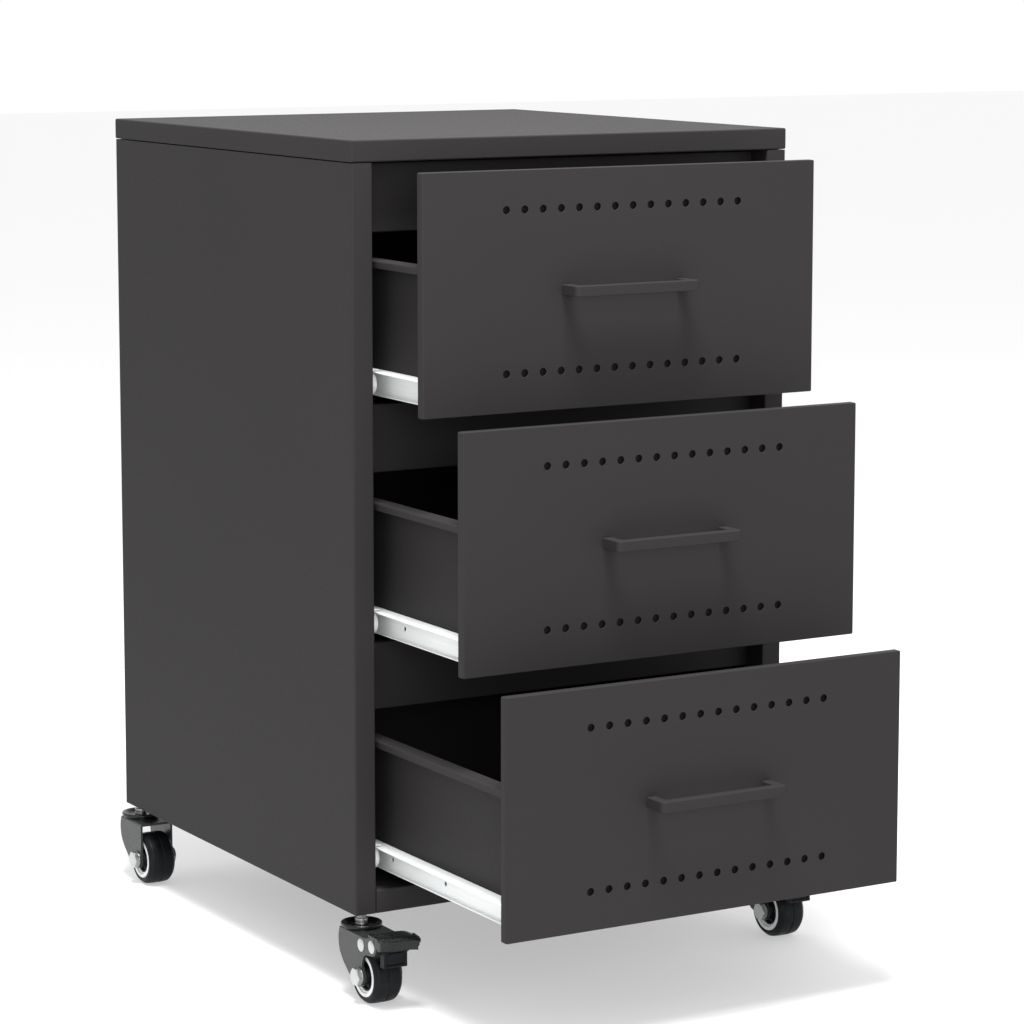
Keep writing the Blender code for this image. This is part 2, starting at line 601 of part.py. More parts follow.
def raceway():
    """Round housing of the swivel bearing, dished on top."""
    foot, top = FORK_TOP - FORK_SHEET + WELD_STEP, RACEWAY_TOP
    neck = RACEWAY_RADIUS - 2 * RACEWAY_NECK
    outline = [
        (0, foot), (neck, foot), (neck, FORK_TOP + RACEWAY_NECK), (RACEWAY_RADIUS, FORK_TOP + RACEWAY_NECK),
        (RACEWAY_RADIUS, top - RACEWAY_NECK), (RACEWAY_RADIUS - RACEWAY_NECK, top),
        (neck - RACEWAY_NECK, top), (neck - 2 * RACEWAY_NECK, top - RACEWAY_DISH), (0, top - RACEWAY_DISH),
    ]
    return turned(outline, RACEWAY_SEGMENTS)


def fork_mesh(braked):
    """Stamped fork: raceway, plate, two legs with axle holes and, on a braked fork, its rivets and pins."""
    inner, outer = FORK_WIDTH / 2 - FORK_SHEET, FORK_WIDTH / 2
    front_edge = -CASTER_TRAIL - FORK_LOBE
    plate = block((-outer + FORK_SHEET / 2, front_edge + WELD_STEP, FORK_TOP - FORK_SHEET),
                  (outer - FORK_SHEET / 2, FORK_REAR - PLATE_SETBACK, FORK_TOP - WELD_STEP))
    tools = [plate]
    for side in SIDES.values():
        tools.append(prism(leg_outline(braked), "X", *sorted((side * inner, side * outer))))
    if braked:
        reach = outer + BRAKE_RIVET_HEAD
        for place in (BRAKE_PIVOT, BRAKE_STOP):
            tools.append(cylinder(BRAKE_PIN_RADIUS, -outer, outer, BRAKE_PIN_SIDES, "X", place))
            for side in SIDES.values():
                span = sorted((side * (inner + FORK_SHEET / 2), side * reach))
                tools.append(cylinder(BRAKE_RIVET_RADIUS, *span, STEM_SEGMENTS, "X", place))
    joined = combine(raceway(), tools)
    bores = [
        cylinder(
            AXLE_RADIUS + FIT, -FORK_WIDTH, FORK_WIDTH, STEM_SEGMENTS, "X", (-CASTER_TRAIL, AXLE_HEIGHT)),
        cylinder(STEM_RADIUS + FIT, FORK_TOP - 2 * FORK_SHEET, RACEWAY_TOP, STEM_SEGMENTS),
    ]
    return finish_mesh(combine(joined, bores, "DIFFERENCE"), "caster_fork", smooth=True)


def stem_mesh():
    """Threaded stem: king pin head under the fork, collar, thread, and the nut inside the body."""
    foot = FORK_TOP - FORK_SHEET - FIT
    collar_foot = RACEWAY_TOP - RACEWAY_DISH + FIT
    neck = CASTER_HEIGHT - STEM_NECK
    tip = CASTER_HEIGHT + STEM_REACH
    outline = [
        (0, foot - KING_PIN_HEAD), (KING_PIN_HEAD_RADIUS, foot - KING_PIN_HEAD), (KING_PIN_HEAD_RADIUS, foot),
        (STEM_RADIUS, foot), (STEM_RADIUS, collar_foot), (STEM_COLLAR_RADIUS, collar_foot),
        (STEM_COLLAR_RADIUS, neck), (STEM_RADIUS, neck + STEM_CHAMFER), (STEM_RADIUS, tip), (0, tip),
    ]
    seat = CASTER_HEIGHT + SHEET + FIT
    nut = cylinder(NUT_RADIUS, seat, seat + NUT_HEIGHT, 6)
    return finish_mesh(combine(turned(outline, STEM_SEGMENTS), [nut]), "caster_stem", smooth=True)


def wheel_mesh():
    """Wheel about the X axis: crowned tyre, recessed disc and raised hub with the axle's bore."""
    half = WHEEL_WIDTH / 2
    hub = FORK_WIDTH / 2 - FORK_SHEET - 2 * FIT
    bore = AXLE_RADIUS + FIT
    side = [
        (bore, hub), (HUB_RADIUS, hub), (HUB_RADIUS + 0.001, half - WHEEL_RECESS),
        (WHEEL_RING_RADIUS - 0.001, half - WHEEL_RECESS), (WHEEL_RING_RADIUS, half),
        (WHEEL_RADIUS - WHEEL_SHOULDER, half), (WHEEL_RADIUS - WHEEL_SHOULDER / 3, half - WHEEL_SHOULDER / 3),
        (WHEEL_RADIUS, half - WHEEL_SHOULDER),
    ]
    outline = side + [(radius, -along) for radius, along in reversed(side)]
    return finish_mesh(turned(outline, WHEEL_SEGMENTS, "X", closed=True), "caster_wheel", smooth=True)


def axle_mesh():
    """Axle bolt along X: hexagon head at the left, nut at the right."""
    seat = FORK_WIDTH / 2 + FIT
    shaft = cylinder(AXLE_RADIUS, -seat - AXLE_HEAD / 2, seat + AXLE_HEAD / 2, STEM_SEGMENTS, "X")
    ends = [
        cylinder(AXLE_HEAD_RADIUS, *sorted((side * seat, side * (seat + AXLE_HEAD))), 6, "X")
        for side in SIDES.values()
    ]
    return finish_mesh(combine(shaft, ends), "caster_axle")


def pedal_mesh():
    """Foot brake about its pivot: plate with cheeks, two arms on the pivot pin, and the shoe below."""
    pivot, height = BRAKE_PIVOT
    half = PEDAL_WIDTH / 2
    arm_outer = FORK_WIDTH / 2 - FORK_SHEET - ARM_INSET
    arm_inner = arm_outer - PEDAL_SHEET
    top, foot = height + PEDAL_RISE, height + PEDAL_RISE - PEDAL_SHEET
    root = foot + PEDAL_SHEET / 2                     # inside the plate
    front, rear = pivot - PEDAL_REACH, pivot + PEDAL_BACK
    nose, tip = front + PEDAL_NOSE_LENGTH, foot - PEDAL_NOSE_DROP
    plate = prism(
        [(rear, foot), (nose, foot), (front, tip), (front, tip + PEDAL_SHEET), (nose, top), (rear, top)],
        "X", -half, half)
    cheek_front, cheek_rear = front + CHEEK_SETBACK, front + CHEEK_SETBACK + CHEEK_LENGTH
    cheek = [
        (cheek_front, root), (cheek_front, top - CHEEK_DROP), (cheek_rear, top - CHEEK_DROP / 2),
        (cheek_rear, root),
    ]
    shoe_front, shoe_rear = pivot - SHOE_REACH, pivot - SHOE_REACH + SHOE_THICKNESS
    arm = arc(BRAKE_PIVOT, ARM_RADIUS, -180, 0, 6)
    arm += [(pivot + ARM_RADIUS, root), (shoe_front, root), (shoe_front, height)]
    shoe_foot = height - SHOE_DROP
    shoe = [(shoe_front, root), (shoe_front, shoe_foot), (shoe_rear, shoe_foot), (shoe_rear, root)]
    tools = [prism(shoe, "X", -SHOE_WIDTH / 2, SHOE_WIDTH / 2)]
    for side in SIDES.values():
        tools.append(prism(cheek, "X", *sorted((side * (half - PEDAL_SHEET), side * half))))
        tools.append(prism(arm, "X", *sorted((side * arm_inner, side * arm_outer))))
    joined = combine(plate, tools)
    bore = cylinder(BRAKE_PIN_RADIUS + FIT, -FORK_WIDTH, FORK_WIDTH, ROUND_PIN_SIDES, "X", BRAKE_PIVOT)
    return finish_mesh(combine(joined, [bore], "DIFFERENCE"), "brake_pedal")


def build_casters(materials, cabinet):
    forks = {braked: fork_mesh(braked) for braked in (True, False)}
    stem, wheel, axle, pedal = stem_mesh(), wheel_mesh(), axle_mesh(), pedal_mesh()
    reach = HALF_WIDTH - CASTER_INSET
    for corner, (side, at_rear) in CORNERS.items():
        depth = BODY_DEPTH - CASTER_INSET if at_rear else CASTER_INSET
        swivel = empty(corner + "_swivel", (side * reach, depth, 0), cabinet)
        hub = (0, -CASTER_TRAIL, AXLE_HEIGHT)
        piece(corner + "_caster_stem", stem, materials["zinc"], swivel)
        piece(corner + "_caster_fork", forks[not at_rear], materials["fork"], swivel)
        piece(corner + "_caster_wheel", wheel, materials["wheel"], swivel, hub)
        piece(corner + "_caster_axle", axle, materials["zinc"], swivel, hub)
        if not at_rear:
            piece(corner + "_brake_pedal", pedal, materials["pedal"], swivel)


def main():
    clear_scene()
    materials = make_materials()
    cabinet = empty("cabinet", (0, -OBJECT_CENTRE, 0))
    build_panels(materials, cabinet)
    build_rails(materials, cabinet)
    build_cabinet_slides(materials, cabinet)
    build_drawers(materials, cabinet)
    build_casters(materials, cabinet)


if __name__ == "__main__":
    main()
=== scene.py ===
"""Looks of a rolling pedestal cabinet: powder-coated sheet steel, enamelled slides and swivel casters."""

import json
import math

import bmesh
import bpy
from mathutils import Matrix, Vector

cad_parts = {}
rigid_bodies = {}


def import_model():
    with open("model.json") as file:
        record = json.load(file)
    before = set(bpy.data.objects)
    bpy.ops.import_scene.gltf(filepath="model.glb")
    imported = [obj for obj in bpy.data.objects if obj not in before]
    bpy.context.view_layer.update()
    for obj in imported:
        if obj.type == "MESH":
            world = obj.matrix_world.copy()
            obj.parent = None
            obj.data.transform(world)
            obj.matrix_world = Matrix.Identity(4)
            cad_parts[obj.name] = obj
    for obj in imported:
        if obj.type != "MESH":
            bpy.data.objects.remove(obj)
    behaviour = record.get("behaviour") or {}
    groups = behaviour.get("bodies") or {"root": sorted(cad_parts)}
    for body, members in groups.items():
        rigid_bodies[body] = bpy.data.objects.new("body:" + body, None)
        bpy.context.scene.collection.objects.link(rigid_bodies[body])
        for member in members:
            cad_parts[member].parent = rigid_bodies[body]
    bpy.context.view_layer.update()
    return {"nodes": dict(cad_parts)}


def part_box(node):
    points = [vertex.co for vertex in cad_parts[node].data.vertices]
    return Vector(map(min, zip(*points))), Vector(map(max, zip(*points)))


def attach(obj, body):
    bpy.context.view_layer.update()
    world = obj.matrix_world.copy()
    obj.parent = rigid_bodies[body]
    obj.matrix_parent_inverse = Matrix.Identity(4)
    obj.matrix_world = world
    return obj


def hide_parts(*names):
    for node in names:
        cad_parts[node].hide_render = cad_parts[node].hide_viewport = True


bl_info = {
    "name": "Rolling Pedestal Cabinet",
    "version": (1, 0, 0),
    "blender": (4, 5, 0),
    "location": "3D View > Sidebar > Cabinet",
    "description": "Models and paints the visible pieces of a rolling pedestal cabinet on its packed frame",
    "category": "Object",
}

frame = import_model()

LEVELS = ("lower", "middle", "upper")
SIDES = {"left": -1, "right": 1}
CORNERS = ("front_left", "front_right", "rear_left", "rear_right")
BRAKED = CORNERS[:2]            # the casters with foot brakes
NEAR = 2e-5                     # coordinates closer than this are the same
SHEET = 0.001                   # gauge of the body's and the drawers' steel


# ------------------------------------------------------------------ settings a user would change
class CabinetSizes(bpy.types.PropertyGroup):
    fold_radius: bpy.props.FloatProperty(
        name="Fold radius", description="Outer radius of the folds in the body's sheet steel",
        default=0.0013, min=0.0002, max=0.0015, precision=5, unit="LENGTH")
    cut_radius: bpy.props.FloatProperty(
        name="Cut edge", description="Rounding that the powder coat leaves on a cut edge of the sheet",
        default=0.00025, min=0.00005, max=0.0004, precision=5, unit="LENGTH")
    hole_radius: bpy.props.FloatProperty(
        name="Hole radius", description="Radius of the round holes in a drawer front",
        default=0.003, min=0.001, max=0.005, precision=5, unit="LENGTH")
    hole_pitch: bpy.props.FloatProperty(
        name="Hole pitch", description="Distance between neighbouring holes of a row",
        default=0.0158, precision=5, unit="LENGTH")
    hole_count: bpy.props.IntProperty(
        name="Holes in a row", description="Number of holes in each of a drawer front's two rows", default=14)
    hole_inset: bpy.props.FloatProperty(
        name="Row inset", description="Distance from a row of holes to the nearer edge of the front",
        default=0.0295, precision=5, unit="LENGTH")
    handle_radius: bpy.props.FloatProperty(
        name="Handle edge", description="Rounding along the edges of the handle's square bar",
        default=0.0011, precision=5, unit="LENGTH")


class CabinetColours(bpy.types.PropertyGroup):
    paint: bpy.props.FloatVectorProperty(
        name="Body paint", description="Anthracite powder coat of the body, drawers and handles",
        subtype="COLOR", default=(0.0230, 0.0214, 0.0220), min=0, max=1)
    enamel: bpy.props.FloatVectorProperty(
        name="Slide enamel", description="White epoxy enamel of the drawer slides",
        subtype="COLOR", default=(0.68, 0.695, 0.695), min=0, max=1)
    nylon: bpy.props.FloatVectorProperty(
        name="Rollers", description="Natural nylon of the slides' rollers",
        subtype="COLOR", default=(0.80, 0.80, 0.78), min=0, max=1)
    zinc: bpy.props.FloatVectorProperty(
        name="Zinc plate", description="Bright zinc plate of bolts, nuts, stems and rivets",
        subtype="COLOR", default=(0.46, 0.48, 0.49), min=0, max=1)
    fork: bpy.props.FloatVectorProperty(
        name="Caster steel", description="Black electrocoat of the casters' forks, raceways and pedals",
        subtype="COLOR", default=(0.0135, 0.0145, 0.0145), min=0, max=1)
    gloss: bpy.props.FloatVectorProperty(
        name="Pedals and raceways", description="Glossy black of the foot brakes and swivel raceways",
        subtype="COLOR", default=(0.0045, 0.0050, 0.0050), min=0, max=1)
    tyre: bpy.props.FloatVectorProperty(
        name="Tyre", description="Black polyurethane of the tyres",
        subtype="COLOR", default=(0.0030, 0.0038, 0.0044), min=0, max=1)
    ring: bpy.props.FloatVectorProperty(
        name="Wheel ring", description="Pale plastic ring between tyre and hub",
        subtype="COLOR", default=(0.60, 0.61, 0.62), min=0, max=1)
    floor: bpy.props.FloatVectorProperty(
        name="Floor", description="Pale studio floor",
        subtype="COLOR", default=(0.50, 0.50, 0.50), min=0, max=1)


# ------------------------------------------------------------------ finishes
class Finish:
    """A node material under construction: a shader with textures read from object coordinates."""

    def __init__(self, name, roughness, metallic=0.0, coat=0.0):
        self.material = bpy.data.materials.new(name)
        self.material.use_nodes = True
        self.tree = self.material.node_tree
        self.shader = self.tree.nodes["Principled BSDF"]
        self.shader.inputs["Roughness"].default_value = roughness
        self.shader.inputs["Metallic"].default_value = metallic
        self.shader.inputs["Coat Weight"].default_value = coat
        self.place = self.tree.nodes.new("ShaderNodeTexCoord").outputs["Object"]
        self.bump = None

    def link(self, output, socket):
        self.tree.links.new(output, socket)

    def noise(self, scale, detail=2.0, roughness=0.5, stretch=None):
        """Noise with features of about 1 / scale metres, stretched along an axis if asked."""
        node = self.tree.nodes.new("ShaderNodeTexNoise")
        node.inputs["Scale"].default_value = scale
        node.inputs["Detail"].default_value = detail
        node.inputs["Roughness"].default_value = roughness
        place = self.place
        if stretch:
            mapping = self.tree.nodes.new("ShaderNodeMapping")
            mapping.inputs["Scale"].default_value = stretch
            self.link(place, mapping.inputs["Vector"])
            place = mapping.outputs["Vector"]
        self.link(place, node.inputs["Vector"])
        return node.outputs["Fac"]

    def spread(self, value, low, high, start=0.3, end=0.7):
        """Map a texture's middle range to a range of values."""
        node = self.tree.nodes.new("ShaderNodeMapRange")
        for socket, number in (("From Min", start), ("From Max", end), ("To Min", low), ("To Max", high)):
            node.inputs[socket].default_value = number
        self.link(value, node.inputs["Value"])
        return node.outputs["Result"]

    def mix(self, factor, first, second):
        """A colour between two, by a texture; either may be a colour or another output."""
        node = self.tree.nodes.new("ShaderNodeMix")
        node.data_type = "RGBA"
        self.link(factor, node.inputs["Factor"])
        for colour, name in ((first, "A"), (second, "B")):
            socket = next(s for s in node.inputs if s.name == name and s.type == "RGBA")
            if isinstance(colour, bpy.types.NodeSocket):
                self.link(colour, socket)
            else:
                socket.default_value = (*colour, 1.0)
        return next(s for s in node.outputs if s.type == "RGBA")

    def colour(self, output):
        self.link(output, self.shader.inputs["Base Color"])

    def roughness(self, output):
        self.link(output, self.shader.inputs["Roughness"])

    def relief(self, height, strength, distance):
        """Add a layer of bump; layers add up in the order that they are made."""
        node = self.tree.nodes.new("ShaderNodeBump")
        node.inputs["Strength"].default_value = strength
        node.inputs["Distance"].default_value = distance
        self.link(height, node.inputs["Height"])
        if self.bump:
            self.link(self.bump, node.inputs["Normal"])
        self.bump = node.outputs["Normal"]
        self.link(self.bump, self.shader.inputs["Normal"])


def shade(colour, factor):
    return tuple(min(1.0, channel * factor) for channel in colour)


def powder_coat(colour):
    """Fine-textured satin powder coat: cloudy tone, orange peel, and pinhead specks of painted glint
    lightened into its colour.
    """
    finish = Finish("anthracite_powder_coat", 0.5)
    finish.shader.inputs["Specular IOR Level"].default_value = 0.06
    cloud = finish.spread(finish.noise(7.0, 3.0), 0.0, 1.0)
    # painted glint: fine specks that lighten the colour by a tenth, standing in for the sparkle of light on
    # the coat
    painted_glint = finish.spread(finish.noise(1500.0, 2.0), 0.0, 1.0)
    tone = finish.mix(cloud, shade(colour, 0.96), shade(colour, 1.04))
    finish.colour(finish.mix(painted_glint, tone, shade(colour, 1.10)))
    finish.roughness(finish.spread(finish.noise(420.0, 3.0, 0.6), 0.48, 0.60))
    finish.relief(finish.noise(650.0, 1.0), 0.10, 0.00022)
    finish.relief(finish.noise(2600.0, 2.0), 0.07, 0.00008)
    return finish.material


def slide_enamel(colour):
    """White enamel on rolled strip: faint rolling lines along the slide and a little uneven gloss."""
    finish = Finish("white_slide_enamel", 0.38)
    lines = finish.spread(finish.noise(300.0, 3.0, 0.6, (1.0, 0.02, 1.0)), 0.0, 1.0)
    finish.colour(finish.mix(lines, shade(colour, 0.93), shade(colour, 1.05)))
    finish.roughness(finish.spread(finish.noise(120.0, 2.0), 0.30, 0.46))
    finish.relief(finish.noise(900.0, 1.0), 0.06, 0.0001)
    finish.relief(lines, 0.04, 0.00008)
    return finish.material


def roller_nylon(colour):
    """Natural nylon with a milky depth."""
    finish = Finish("natural_nylon", 0.42)
    finish.shader.inputs["Subsurface Weight"].default_value = 0.15
    finish.shader.inputs["Subsurface Radius"].default_value = (0.002, 0.0018, 0.0014)
    finish.colour(finish.mix(finish.noise(180.0), shade(colour, 0.95), shade(colour, 1.04)))
    finish.roughness(finish.spread(finish.noise(600.0), 0.36, 0.5))
    finish.relief(finish.noise(1200.0), 0.05, 0.0001)
    return finish.material


def zinc_plate(colour):
    """Bright zinc plate: bluish and warm clouds, drawing lines and small dull spots."""
    finish = Finish("bright_zinc_plate", 0.3, metallic=1.0)
    cloud = finish.spread(finish.noise(140.0, 2.0), 0.0, 1.0)
    warm = (colour[0] * 1.06, colour[1] * 1.03, colour[2] * 0.96)
    finish.colour(finish.mix(cloud, shade(colour, 0.94), warm))
    finish.roughness(finish.spread(finish.noise(700.0, 3.0, 0.6), 0.26, 0.44))
    finish.relief(finish.noise(1600.0, 2.0), 0.08, 0.0001)
    return finish.material


def black_electrocoat(colour):
    """Black dip coat over stamped steel: half gloss, with shallow stamping waves."""
    finish = Finish("black_electrocoat", 0.34)
    finish.shader.inputs["Specular IOR Level"].default_value = 0.35
    cloud = finish.spread(finish.noise(60.0, 2.0), 0.0, 1.0)
    finish.colour(finish.mix(cloud, shade(colour, 0.85), shade(colour, 1.25)))
    finish.roughness(finish.spread(finish.noise(500.0, 3.0), 0.26, 0.42))
    finish.relief(finish.noise(160.0, 1.0), 0.05, 0.0002)
    finish.relief(finish.noise(1300.0, 1.0), 0.08, 0.0001)
    return finish.material


def gloss_black(colour):
    """Glossy black lacquer with a soft ripple and fine handling marks."""
    finish = Finish("gloss_black_lacquer", 0.24)
    finish.shader.inputs["Specular IOR Level"].default_value = 0.3
    cloud = finish.spread(finish.noise(90.0, 2.0), 0.0, 1.0)
    finish.colour(finish.mix(cloud, shade(colour, 0.8), shade(colour, 1.4)))
    finish.roughness(finish.spread(finish.noise(450.0, 3.0, 0.6), 0.18, 0.34))
    finish.relief(finish.noise(120.0, 0.0), 0.03, 0.00004)
    finish.relief(finish.noise(1400.0, 1.0), 0.04, 0.00004)
    return finish.material


def tyre_polyurethane(colour):
    """Moulded polyurethane: deep black, with a matt bloom and fine moulding grain."""
    finish = Finish("moulded_polyurethane", 0.42)
    finish.shader.inputs["Specular IOR Level"].default_value = 0.12
    bloom = finish.spread(finish.noise(220.0, 4.0, 0.6), 0.0, 1.0)
    finish.colour(finish.mix(bloom, colour, shade(colour, 1.9)))
    finish.roughness(finish.spread(finish.noise(350.0, 3.0), 0.34, 0.55))
    finish.relief(finish.noise(1900.0, 2.0), 0.10, 0.0001)
    return finish.material


def ring_plastic(colour):
    """Pale injection-moulded plastic."""
    finish = Finish("pale_ring_plastic", 0.35)
    finish.colour(finish.mix(finish.noise(260.0), shade(colour, 0.94), shade(colour, 1.05)))
    finish.roughness(finish.spread(finish.noise(500.0), 0.28, 0.42))
    finish.relief(finish.noise(1500.0), 0.05, 0.0001)
    return finish.material


def floor_finish(colour):
    """Seamless matt floor with a very faint mottle."""
    finish = Finish("studio_floor", 0.85)
    finish.shader.inputs["Emission Color"].default_value = (1, 1, 1, 1)
    finish.shader.inputs["Emission Strength"].default_value = 0.42
    finish.shader.inputs["Specular IOR Level"].default_value = 0.1
    finish.colour(finish.mix(finish.noise(3.0, 4.0), shade(colour, 0.99), shade(colour, 1.01)))
    finish.roughness(finish.spread(finish.noise(40.0), 0.8, 0.95))
    finish.relief(finish.noise(500.0), 0.02, 0.0002)
    return finish.material


MAKERS = {
    "paint": powder_coat, "enamel": slide_enamel, "nylon": roller_nylon, "zinc": zinc_plate,
    "fork": black_electrocoat, "gloss": gloss_black, "tyre": tyre_polyurethane, "ring": ring_plastic,
    "floor": floor_finish,
}
finishes = {}


def finish_of(name):
    """The material of that name, made once from the user's colour."""
    if name not in finishes:
        colour = tuple(getattr(bpy.context.scene.cabinet_colours, name))
        finishes[name] = MAKERS[name](colour)
    return finishes[name]


# ------------------------------------------------------------------ modelling by operators
def only(obj):
    """Make one object the selected and active one."""
    bpy.ops.object.select_all(action="DESELECT")
    obj.select_set(True)
    bpy.context.view_layer.objects.active = obj
    return obj


def edit(obj, kind="FACE"):
    """Enter edit mode with nothing selected."""
    only(obj)
    bpy.ops.object.mode_set(mode="EDIT")
    bpy.ops.mesh.select_mode(type=kind)
    bpy.ops.mesh.select_all(action="DESELECT")


def edit_all(obj):
    """Enter edit mode with everything selected."""
    edit(obj)
    bpy.ops.mesh.select_all(action="SELECT")


def done():
    bpy.ops.object.mode_set(mode="OBJECT")


def step_along(axis, length):
    """A step of a length along one axis."""
    return [length if index == axis else 0 for index in range(3)]


def slice_at(axis, level):
    """In edit mode, cut new edges through the whole piece in a plane across an axis."""
    bpy.ops.mesh.select_all(action="SELECT")
    bpy.ops.mesh.bisect(plane_co=step_along(axis, level), plane_no=step_along(axis, 1))


def pick(obj, kind, test):
    """In edit mode, select the faces or edges that pass a test, and nothing else."""
    bpy.ops.mesh.select_mode(type=kind)
    bpy.ops.mesh.select_all(action="DESELECT")
    shape = bmesh.from_edit_mesh(obj.data)
    parts = shape.faces if kind == "FACE" else shape.edges
    for part in parts:
        if test(part):
            part.select_set(True)
    bmesh.update_edit_mesh(obj.data)


def flat_at(axis, level):
    """A test for faces or edges that lie in a plane across an axis."""
    return lambda part: all(abs(vert.co[axis] - level) < NEAR for vert in part.verts)


def modifier(obj, kind, **settings):
    """Add a modifier with its settings and apply it."""
    only(obj)
    bpy.ops.object.modifier_add(type=kind)
    made = obj.modifiers[-1]
    for name, value in settings.items():
        setattr(made, name, value)
    bpy.ops.object.modifier_apply(modifier=made.name)


def cuboid(name, low, high):
    """A block added at its size and place."""
    low, high = Vector(low), Vector(high)
    bpy.ops.object.select_all(action="DESELECT")
    bpy.ops.mesh.primitive_cube_add(size=1, location=(low + high) / 2)
    obj = bpy.context.active_object
    obj.scale = high - low
    bpy.ops.object.transform_apply(location=True, rotation=True, scale=True)
    obj.name = obj.data.name = name
    return obj


def trace(name, points, closed):
    """An outline drawn from vertex to vertex by extruding, left in edit mode with everything selected."""
    bpy.ops.object.select_all(action="DESELECT")
    bpy.ops.mesh.primitive_plane_add(size=0.001, location=points[0])
    obj = bpy.context.active_object
    bpy.ops.object.transform_apply(location=True, rotation=True, scale=True)
    obj.name = obj.data.name = name
    edit(obj, "VERT")
    bpy.ops.mesh.select_all(action="SELECT")
    bpy.ops.mesh.merge(type="CENTER")
    path = list(points) + (list(points[:1]) if closed else [])
    for start, end in zip(path, path[1:]):
        step = [there - here for here, there in zip(start, end)]
        bpy.ops.mesh.extrude_vertices_move(TRANSFORM_OT_translate={"value": step})
    bpy.ops.mesh.select_all(action="SELECT")
    if closed:
        bpy.ops.mesh.remove_doubles(threshold=2e-6)
    return obj


def outline_plate(name, outline, axis, low, high):
    """A plate: an outline across an axis, filled and extruded along it from low to high."""
    across = [index for index in range(3) if index != axis]
    points = []
    for first, second in outline:
        point = [low, low, low]
        point[across[0]], point[across[1]] = first, second
        points.append(point)
    obj = trace(name, points, closed=True)
    bpy.ops.mesh.edge_face_add()
    bpy.ops.mesh.extrude_region_move(TRANSFORM_OT_translate={"value": step_along(axis, high - low)})
    bpy.ops.mesh.select_all(action="SELECT")
    bpy.ops.mesh.normals_make_consistent(inside=False)
    done()
    return obj


def turned(name, profile, axis, centre, segments=64, closed=True):
    """A (radius, along) profile spun about an axis through a centre; an open one starts and ends on it."""
    radial = [index for index in range(3) if index != axis][0]
    points = []
    for radius, along in profile:
        point = list(centre)
        point[axis] += along
        point[radial] += radius
        points.append(point)
    obj = trace(name, points, closed)
    bpy.ops.mesh.spin(steps=segments, angle=2 * math.pi, center=centre, axis=step_along(axis, 1))
    bpy.ops.mesh.select_all(action="SELECT")
    bpy.ops.mesh.remove_doubles(threshold=2e-6)
    bpy.ops.mesh.normals_make_consistent(inside=False)
    done()
    return obj


def rounded(points, closed=False, steps=5):
    """A polygon whose corners given with a radius, as (a, b, radius), become arcs."""
    result = []
    count = len(points)
    for index, point in enumerate(points):
        here = Vector(point[:2])
        inside = closed or 0 < index < count - 1
        if len(point) < 3 or not inside:
            result.append(tuple(here))
            continue
        before = (Vector(points[index - 1][:2]) - here).normalized()
        after = (Vector(points[(index + 1) % count][:2]) - here).normalized()
        half = before.angle(after) / 2
        middle = here + (before + after).normalized() * (point[2] / math.sin(half))
        start = here + before * (point[2] / math.tan(half)) - middle
        sweep = math.pi - 2 * half
        turn = 1 if before.x * after.y - before.y * after.x < 0 else -1
        for step in range(steps + 1):
            angle = turn * sweep * step / steps
            cos, sin = math.cos(angle), math.sin(angle)
            result.append((
                middle.x + start.x * cos - start.y * sin, middle.y + start.x * sin + start.y * cos))
    return result


def copy_of(node, name):
    """A separate copy of one of the frame's solids, merged, with each flat face whole."""
    only(frame["nodes"][node])
    bpy.ops.object.duplicate()
    obj = bpy.context.active_object
    bpy.ops.object.parent_clear(type="CLEAR_KEEP_TRANSFORM")
    for key in [key for key in obj.keys() if key.startswith("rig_")]:
        del obj[key]
    obj.name = obj.data.name = name
    obj.data.materials.clear()
    edit_all(obj)
    bpy.ops.mesh.customdata_custom_splitnormals_clear()
    bpy.ops.mesh.remove_doubles(threshold=1e-5)
    bpy.ops.mesh.dissolve_limited(angle_limit=math.radians(0.5))
    done()
    return obj


def width_of(face):
    """The width of a long narrow face, also where it bends."""
    around = sum(edge.calc_length() for edge in face.edges)
    return 2 * face.calc_area() / around if around else 0.0


def round_folds(obj, outer, inner, cut):
    """Round a folded sheet: outer and inner bends by their radii, and cut edges by a small one."""
    shape = bmesh.new()
    shape.from_mesh(obj.data)
    weight = shape.edges.layers.float.new("bevel_weight_edge")
    for edge in shape.edges:
        if len(edge.link_faces) != 2 or edge.calc_face_angle() < math.radians(25):
            continue
        narrow = min(width_of(face) for face in edge.link_faces)
        if narrow < 0.3 * SHEET:
            continue
        if narrow < 1.3 * SHEET:
            radius = cut
        else:
            radius = outer if edge.is_convex else inner
        edge[weight] = radius / outer
    shape.to_mesh(obj.data)
    shape.free()
    modifier(
        obj, "BEVEL", limit_method="WEIGHT", width=outer, segments=3, use_clamp_overlap=False,
        miter_outer="MITER_ARC", profile=0.5)


def bevel_edges(obj, test, width, segments=3):
    """Round the edges that pass a test."""
    edit(obj, "EDGE")
    pick(obj, "EDGE", test)
    bpy.ops.mesh.bevel(offset=width, segments=segments, affect="EDGES", clamp_overlap=True)
    done()


def sharp(edge, degrees=30):
    return len(edge.link_faces) == 2 and edge.calc_face_angle() > math.radians(degrees)


def soften(obj, width, segments):
    """Round every edge of a piece that turns by more than 50 degrees."""
    bevel_edges(obj, lambda edge: sharp(edge, 50), width, segments)


def cut_with(obj, tool, operation="DIFFERENCE"):
    """Cut a piece with a tool, or join it, and remove the tool."""
    modifier(obj, "BOOLEAN", object=tool, operation=operation, solver="EXACT")
    bpy.data.objects.remove(tool, do_unlink=True)


def join(name, parts):
    """One object of several separate shells."""
    only(parts[0])
    for part in parts[1:]:
        part.select_set(True)
    if len(parts) > 1:
        bpy.ops.object.join()
    parts[0].name = parts[0].data.name = name
    return parts[0]


